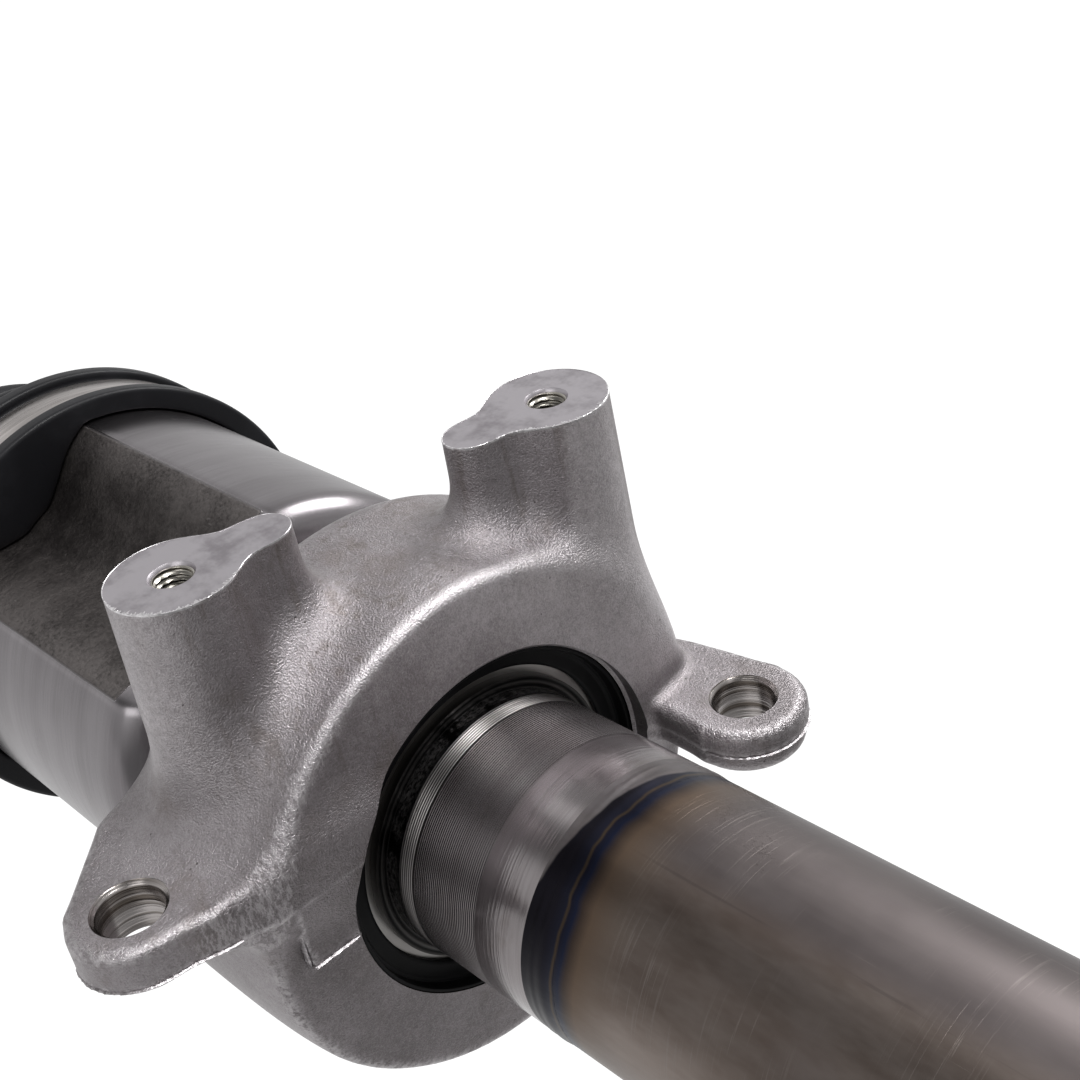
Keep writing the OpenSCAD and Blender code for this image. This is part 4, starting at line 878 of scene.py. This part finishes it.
outline = collar_outline(inner_start, -collar_l, lobe_r + boot_gap + boot_wall, lobe_r)
x, r = outline[:, :1], outline[:, 1:]
a = circle(432)
inner_side = np.clip((lobe_r + 1.2 - r) / 1.2, 0, 1)
sink = (housing_radius(a, boot_gap) - lobe_r) * inner_side * (x > housing_end - 1.0)
reach = r + sink - 1.2 * inner_side * (x <= housing_end - 1.0)
collar = sheet("inner_boot_collar", carried(x, reach, a), loop=True)
fit(collar, "shaft", rubber, ["inner_boot"])
inner_folds_start = inner_start - collar_l
inner_small_start = inner_folds_start - inner_folds_l
share = 1 / folds_n
split_x, split_r = inner_folds_start - inner_folds_l * share, crest_r + (small_crest_r - crest_r) * share
first = folds("inner_boot_first_folds", inner_folds_start, -inner_folds_l * share, crest_r, split_r, (0, share))
at_x(inner_folds_start)
at_x(split_x)
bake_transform(first)
second = folds("inner_boot_folds", split_x, -inner_folds_l * (1 - share), split_r, small_crest_r, (share, 1))
at_x(split_x)
at_x(split_x - inner_turn_l)
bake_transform(second)
outer_end = outer_start + collar_l + outer_folds_l
for name, x0, l in (("inner_boot_small_collar", inner_small_start, -small_collar_l),
                    ("outer_boot_small_collar", outer_end, small_collar_l)):
    ring(name, "bar", "rubber", rubber, collar_outline(x0, l, small_seat_r, bar_r + boot_gap), 96)
ring("outer_boot_collar", "bell", "rubber", rubber,
     collar_outline(outer_start, collar_l, bell_r + boot_gap + boot_wall, bell_r + boot_gap), 144, ["outer_boot"])
outer_folds_start = outer_start + collar_l
bell_crest_r = bell_r + boot_gap + boot_wall / 2
outer = folds("outer_boot_folds", outer_folds_start, outer_folds_l, bell_crest_r, small_crest_r)
at_x(outer_folds_start)
at_x(outer_folds_start + outer_turn_l)
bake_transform(outer)


# Boot clamps
# Bands of stainless strip, pulled tight round the collars by pinching a raised ear; the strip's ends overlap.
stainless, spot, shader = finish("stainless", 1.0)
x, y, z, rho = radial(spot)
drawn = spot.vector(x, y * 0.05, z * 0.05).noise(1600)
join(shader, Base_Color=drawn.step(0.3, 0.7).mix((0.36, 0.335, 0.325), (0.52, 0.49, 0.475)),
     Roughness=drawn * 0.14 + 0.22, bump=drawn * 8e-6)
clamp_w, clamp_t, pinch_h, pinch_half, lap_h = 9.0, 0.8, 3.4, 2.7, 0.35


def clamp(name, body, mid, r, ear_angle):
    """A band round the shaft: its middle line is a circle of radius r that rises over the pinched ear and steps
    up where the strip overlaps itself; a rounded strip section is carried along it."""
    a = circle(420)
    away = ((a - ear_angle + math.pi) % (2 * math.pi) - math.pi) * r
    ear = pinch_h / (1 + (np.abs(away) / pinch_half) ** 8)
    lap = lap_h * (1 / (1 + np.exp(-(away - 8) * 3)) - 1 / (1 + np.exp(-(away - 24) / 1.5)))
    middle = r + clamp_t / 2 + ear + lap
    pinch = 1 - 0.16 / (1 + (away / 3.2) ** 6)
    w, t = clamp_w / 2, clamp_t / 2
    section = rounded([(-w, -t), (w, -t), (w, t), (-w, t)], 0.22, 3)
    points = carried(mid + section[:, :1] * pinch, middle + section[:, 1:], a)
    fit(sheet(name + "_band", points, loop=True), body, stainless, [name])


big = boot_gap + boot_wall + 0.1
ear_at = math.radians(-115)
clamp("inner_boot_large_clamp", "shaft", inner_start - collar_l / 2, lobe_r + big, ear_at)
clamp("outer_boot_large_clamp", "bell", outer_start + collar_l / 2, bell_r + big, ear_at)
clamp("inner_boot_small_clamp", "bar", inner_small_start - small_collar_l / 2, small_seat_r + 0.1, ear_at)
clamp("outer_boot_small_clamp", "bar", outer_end + small_collar_l / 2, small_seat_r + 0.1, ear_at)


# Floor, lamps and background
# A pale floor well below the axle and plain soft light from above, so that each colour renders about as it is
# written. The floor is darker past the bracket's front, and soft strips overhead streak the round steel.
floor_mesh = bpy.data.meshes.new("floor")
floor_mesh.from_pydata([(-9, -9, -0.45), (9, -9, -0.45), (9, 9, -0.45), (-9, 9, -0.45)], [], [(0, 1, 2, 3)])
add("floor", floor_mesh)
pale, spot, shader = finish("pale_floor", 0.0)


def ray(tree, kind):
    """1 for rays of this kind, else 0."""
    return Field(tree, tree.nodes.new("ShaderNodeLightPath").outputs[f"Is {kind} Ray"])


def shown(tree):
    """1 for rays that see the background as white: from the camera or through glass; else 0."""
    return (ray(tree, "Camera") + ray(tree, "Transmission")).step(0.0, 1.0)


bright = (spot.axis(0) - ring_front).step(0.40, 0.22)
join(shader, Base_Color=bright.mix((0.22, 0.22, 0.22), (0.55, 0.55, 0.55)), Roughness=0.9)
glow = spot.node("ShaderNodeEmission", Color=(1, 1, 1, 1), Strength=1.12)
part = shown(spot.tree) * 0.94 + ray(spot.tree, "Glossy") * (bright * 0.40 + 0.03)
floor_skin = part.node("ShaderNodeMixShader", in0=part, in1=Field(spot.tree, shader.outputs[0]), in2=glow)
spot.tree.links.new(floor_skin.socket, spot.tree.nodes["Material Output"].inputs["Surface"])
floor_mesh.materials.append(pale)

world = bpy.data.worlds.new("studio")
bpy.context.scene.world = world
world.use_nodes = True
tree = world.node_tree
background = tree.nodes["Background"]
plain = shown(tree)
glossy = ray(tree, "Glossy")
look = Field(tree, tree.nodes.new("ShaderNodeTexCoord").outputs["Generated"])
up = look.axis(2)
behind = (look.axis(1) * 0.62 - look.axis(0) * 0.79).step(-0.5, 0.7)
round_shaft = up.math("ARCTAN2", look.axis(1))
first, gap, last = ((round_shaft - angle).math("ABSOLUTE") for angle in (1.60, 2.12, 2.72))
strips = first.step(0.22, 0.05) * 0.55 - gap.step(0.34, 0.12) * 0.30 + last.step(0.40, 0.10) * 0.18
mirrored = up.step(0.80, 0.42) * behind * 0.28 + 0.45 + strips * up.step(0.0, 0.2)
light = plain + (1 - plain) * (glossy * mirrored + (1 - glossy) * (up.step(-0.1, 0.85) * 0.35 + 0.40))
background.inputs["Color"].default_value = (1, 1, 1, 1)
tree.links.new(light.socket, background.inputs["Strength"])


def lamp(name, power, size, at, aim):
    """A square soft lamp of so many watts, standing at a place and pointing at another."""
    light = bpy.data.lights.new(name, "AREA")
    light.energy, light.size = power, size
    piece = add(name, light)
    piece.rotation_mode = "QUATERNION"
    piece.location = at
    piece.rotation_quaternion = (Vector(at) - Vector(aim)).to_track_quat("Z", "Y")


lamp("top_lamp", 9, 0.4, (ring_front + 0.3, 0.2, 1.15), (ring_front, 0, 0))
lamp("right_lamp", 8, 0.5, (ring_front - 0.05, 0.9, 0.75), (ring_front, 0, 0))
lamp("side_lamp", 2.5, 0.7, (ring_front + 0.4, -0.9, 0.6), (ring_front, 0, 0))
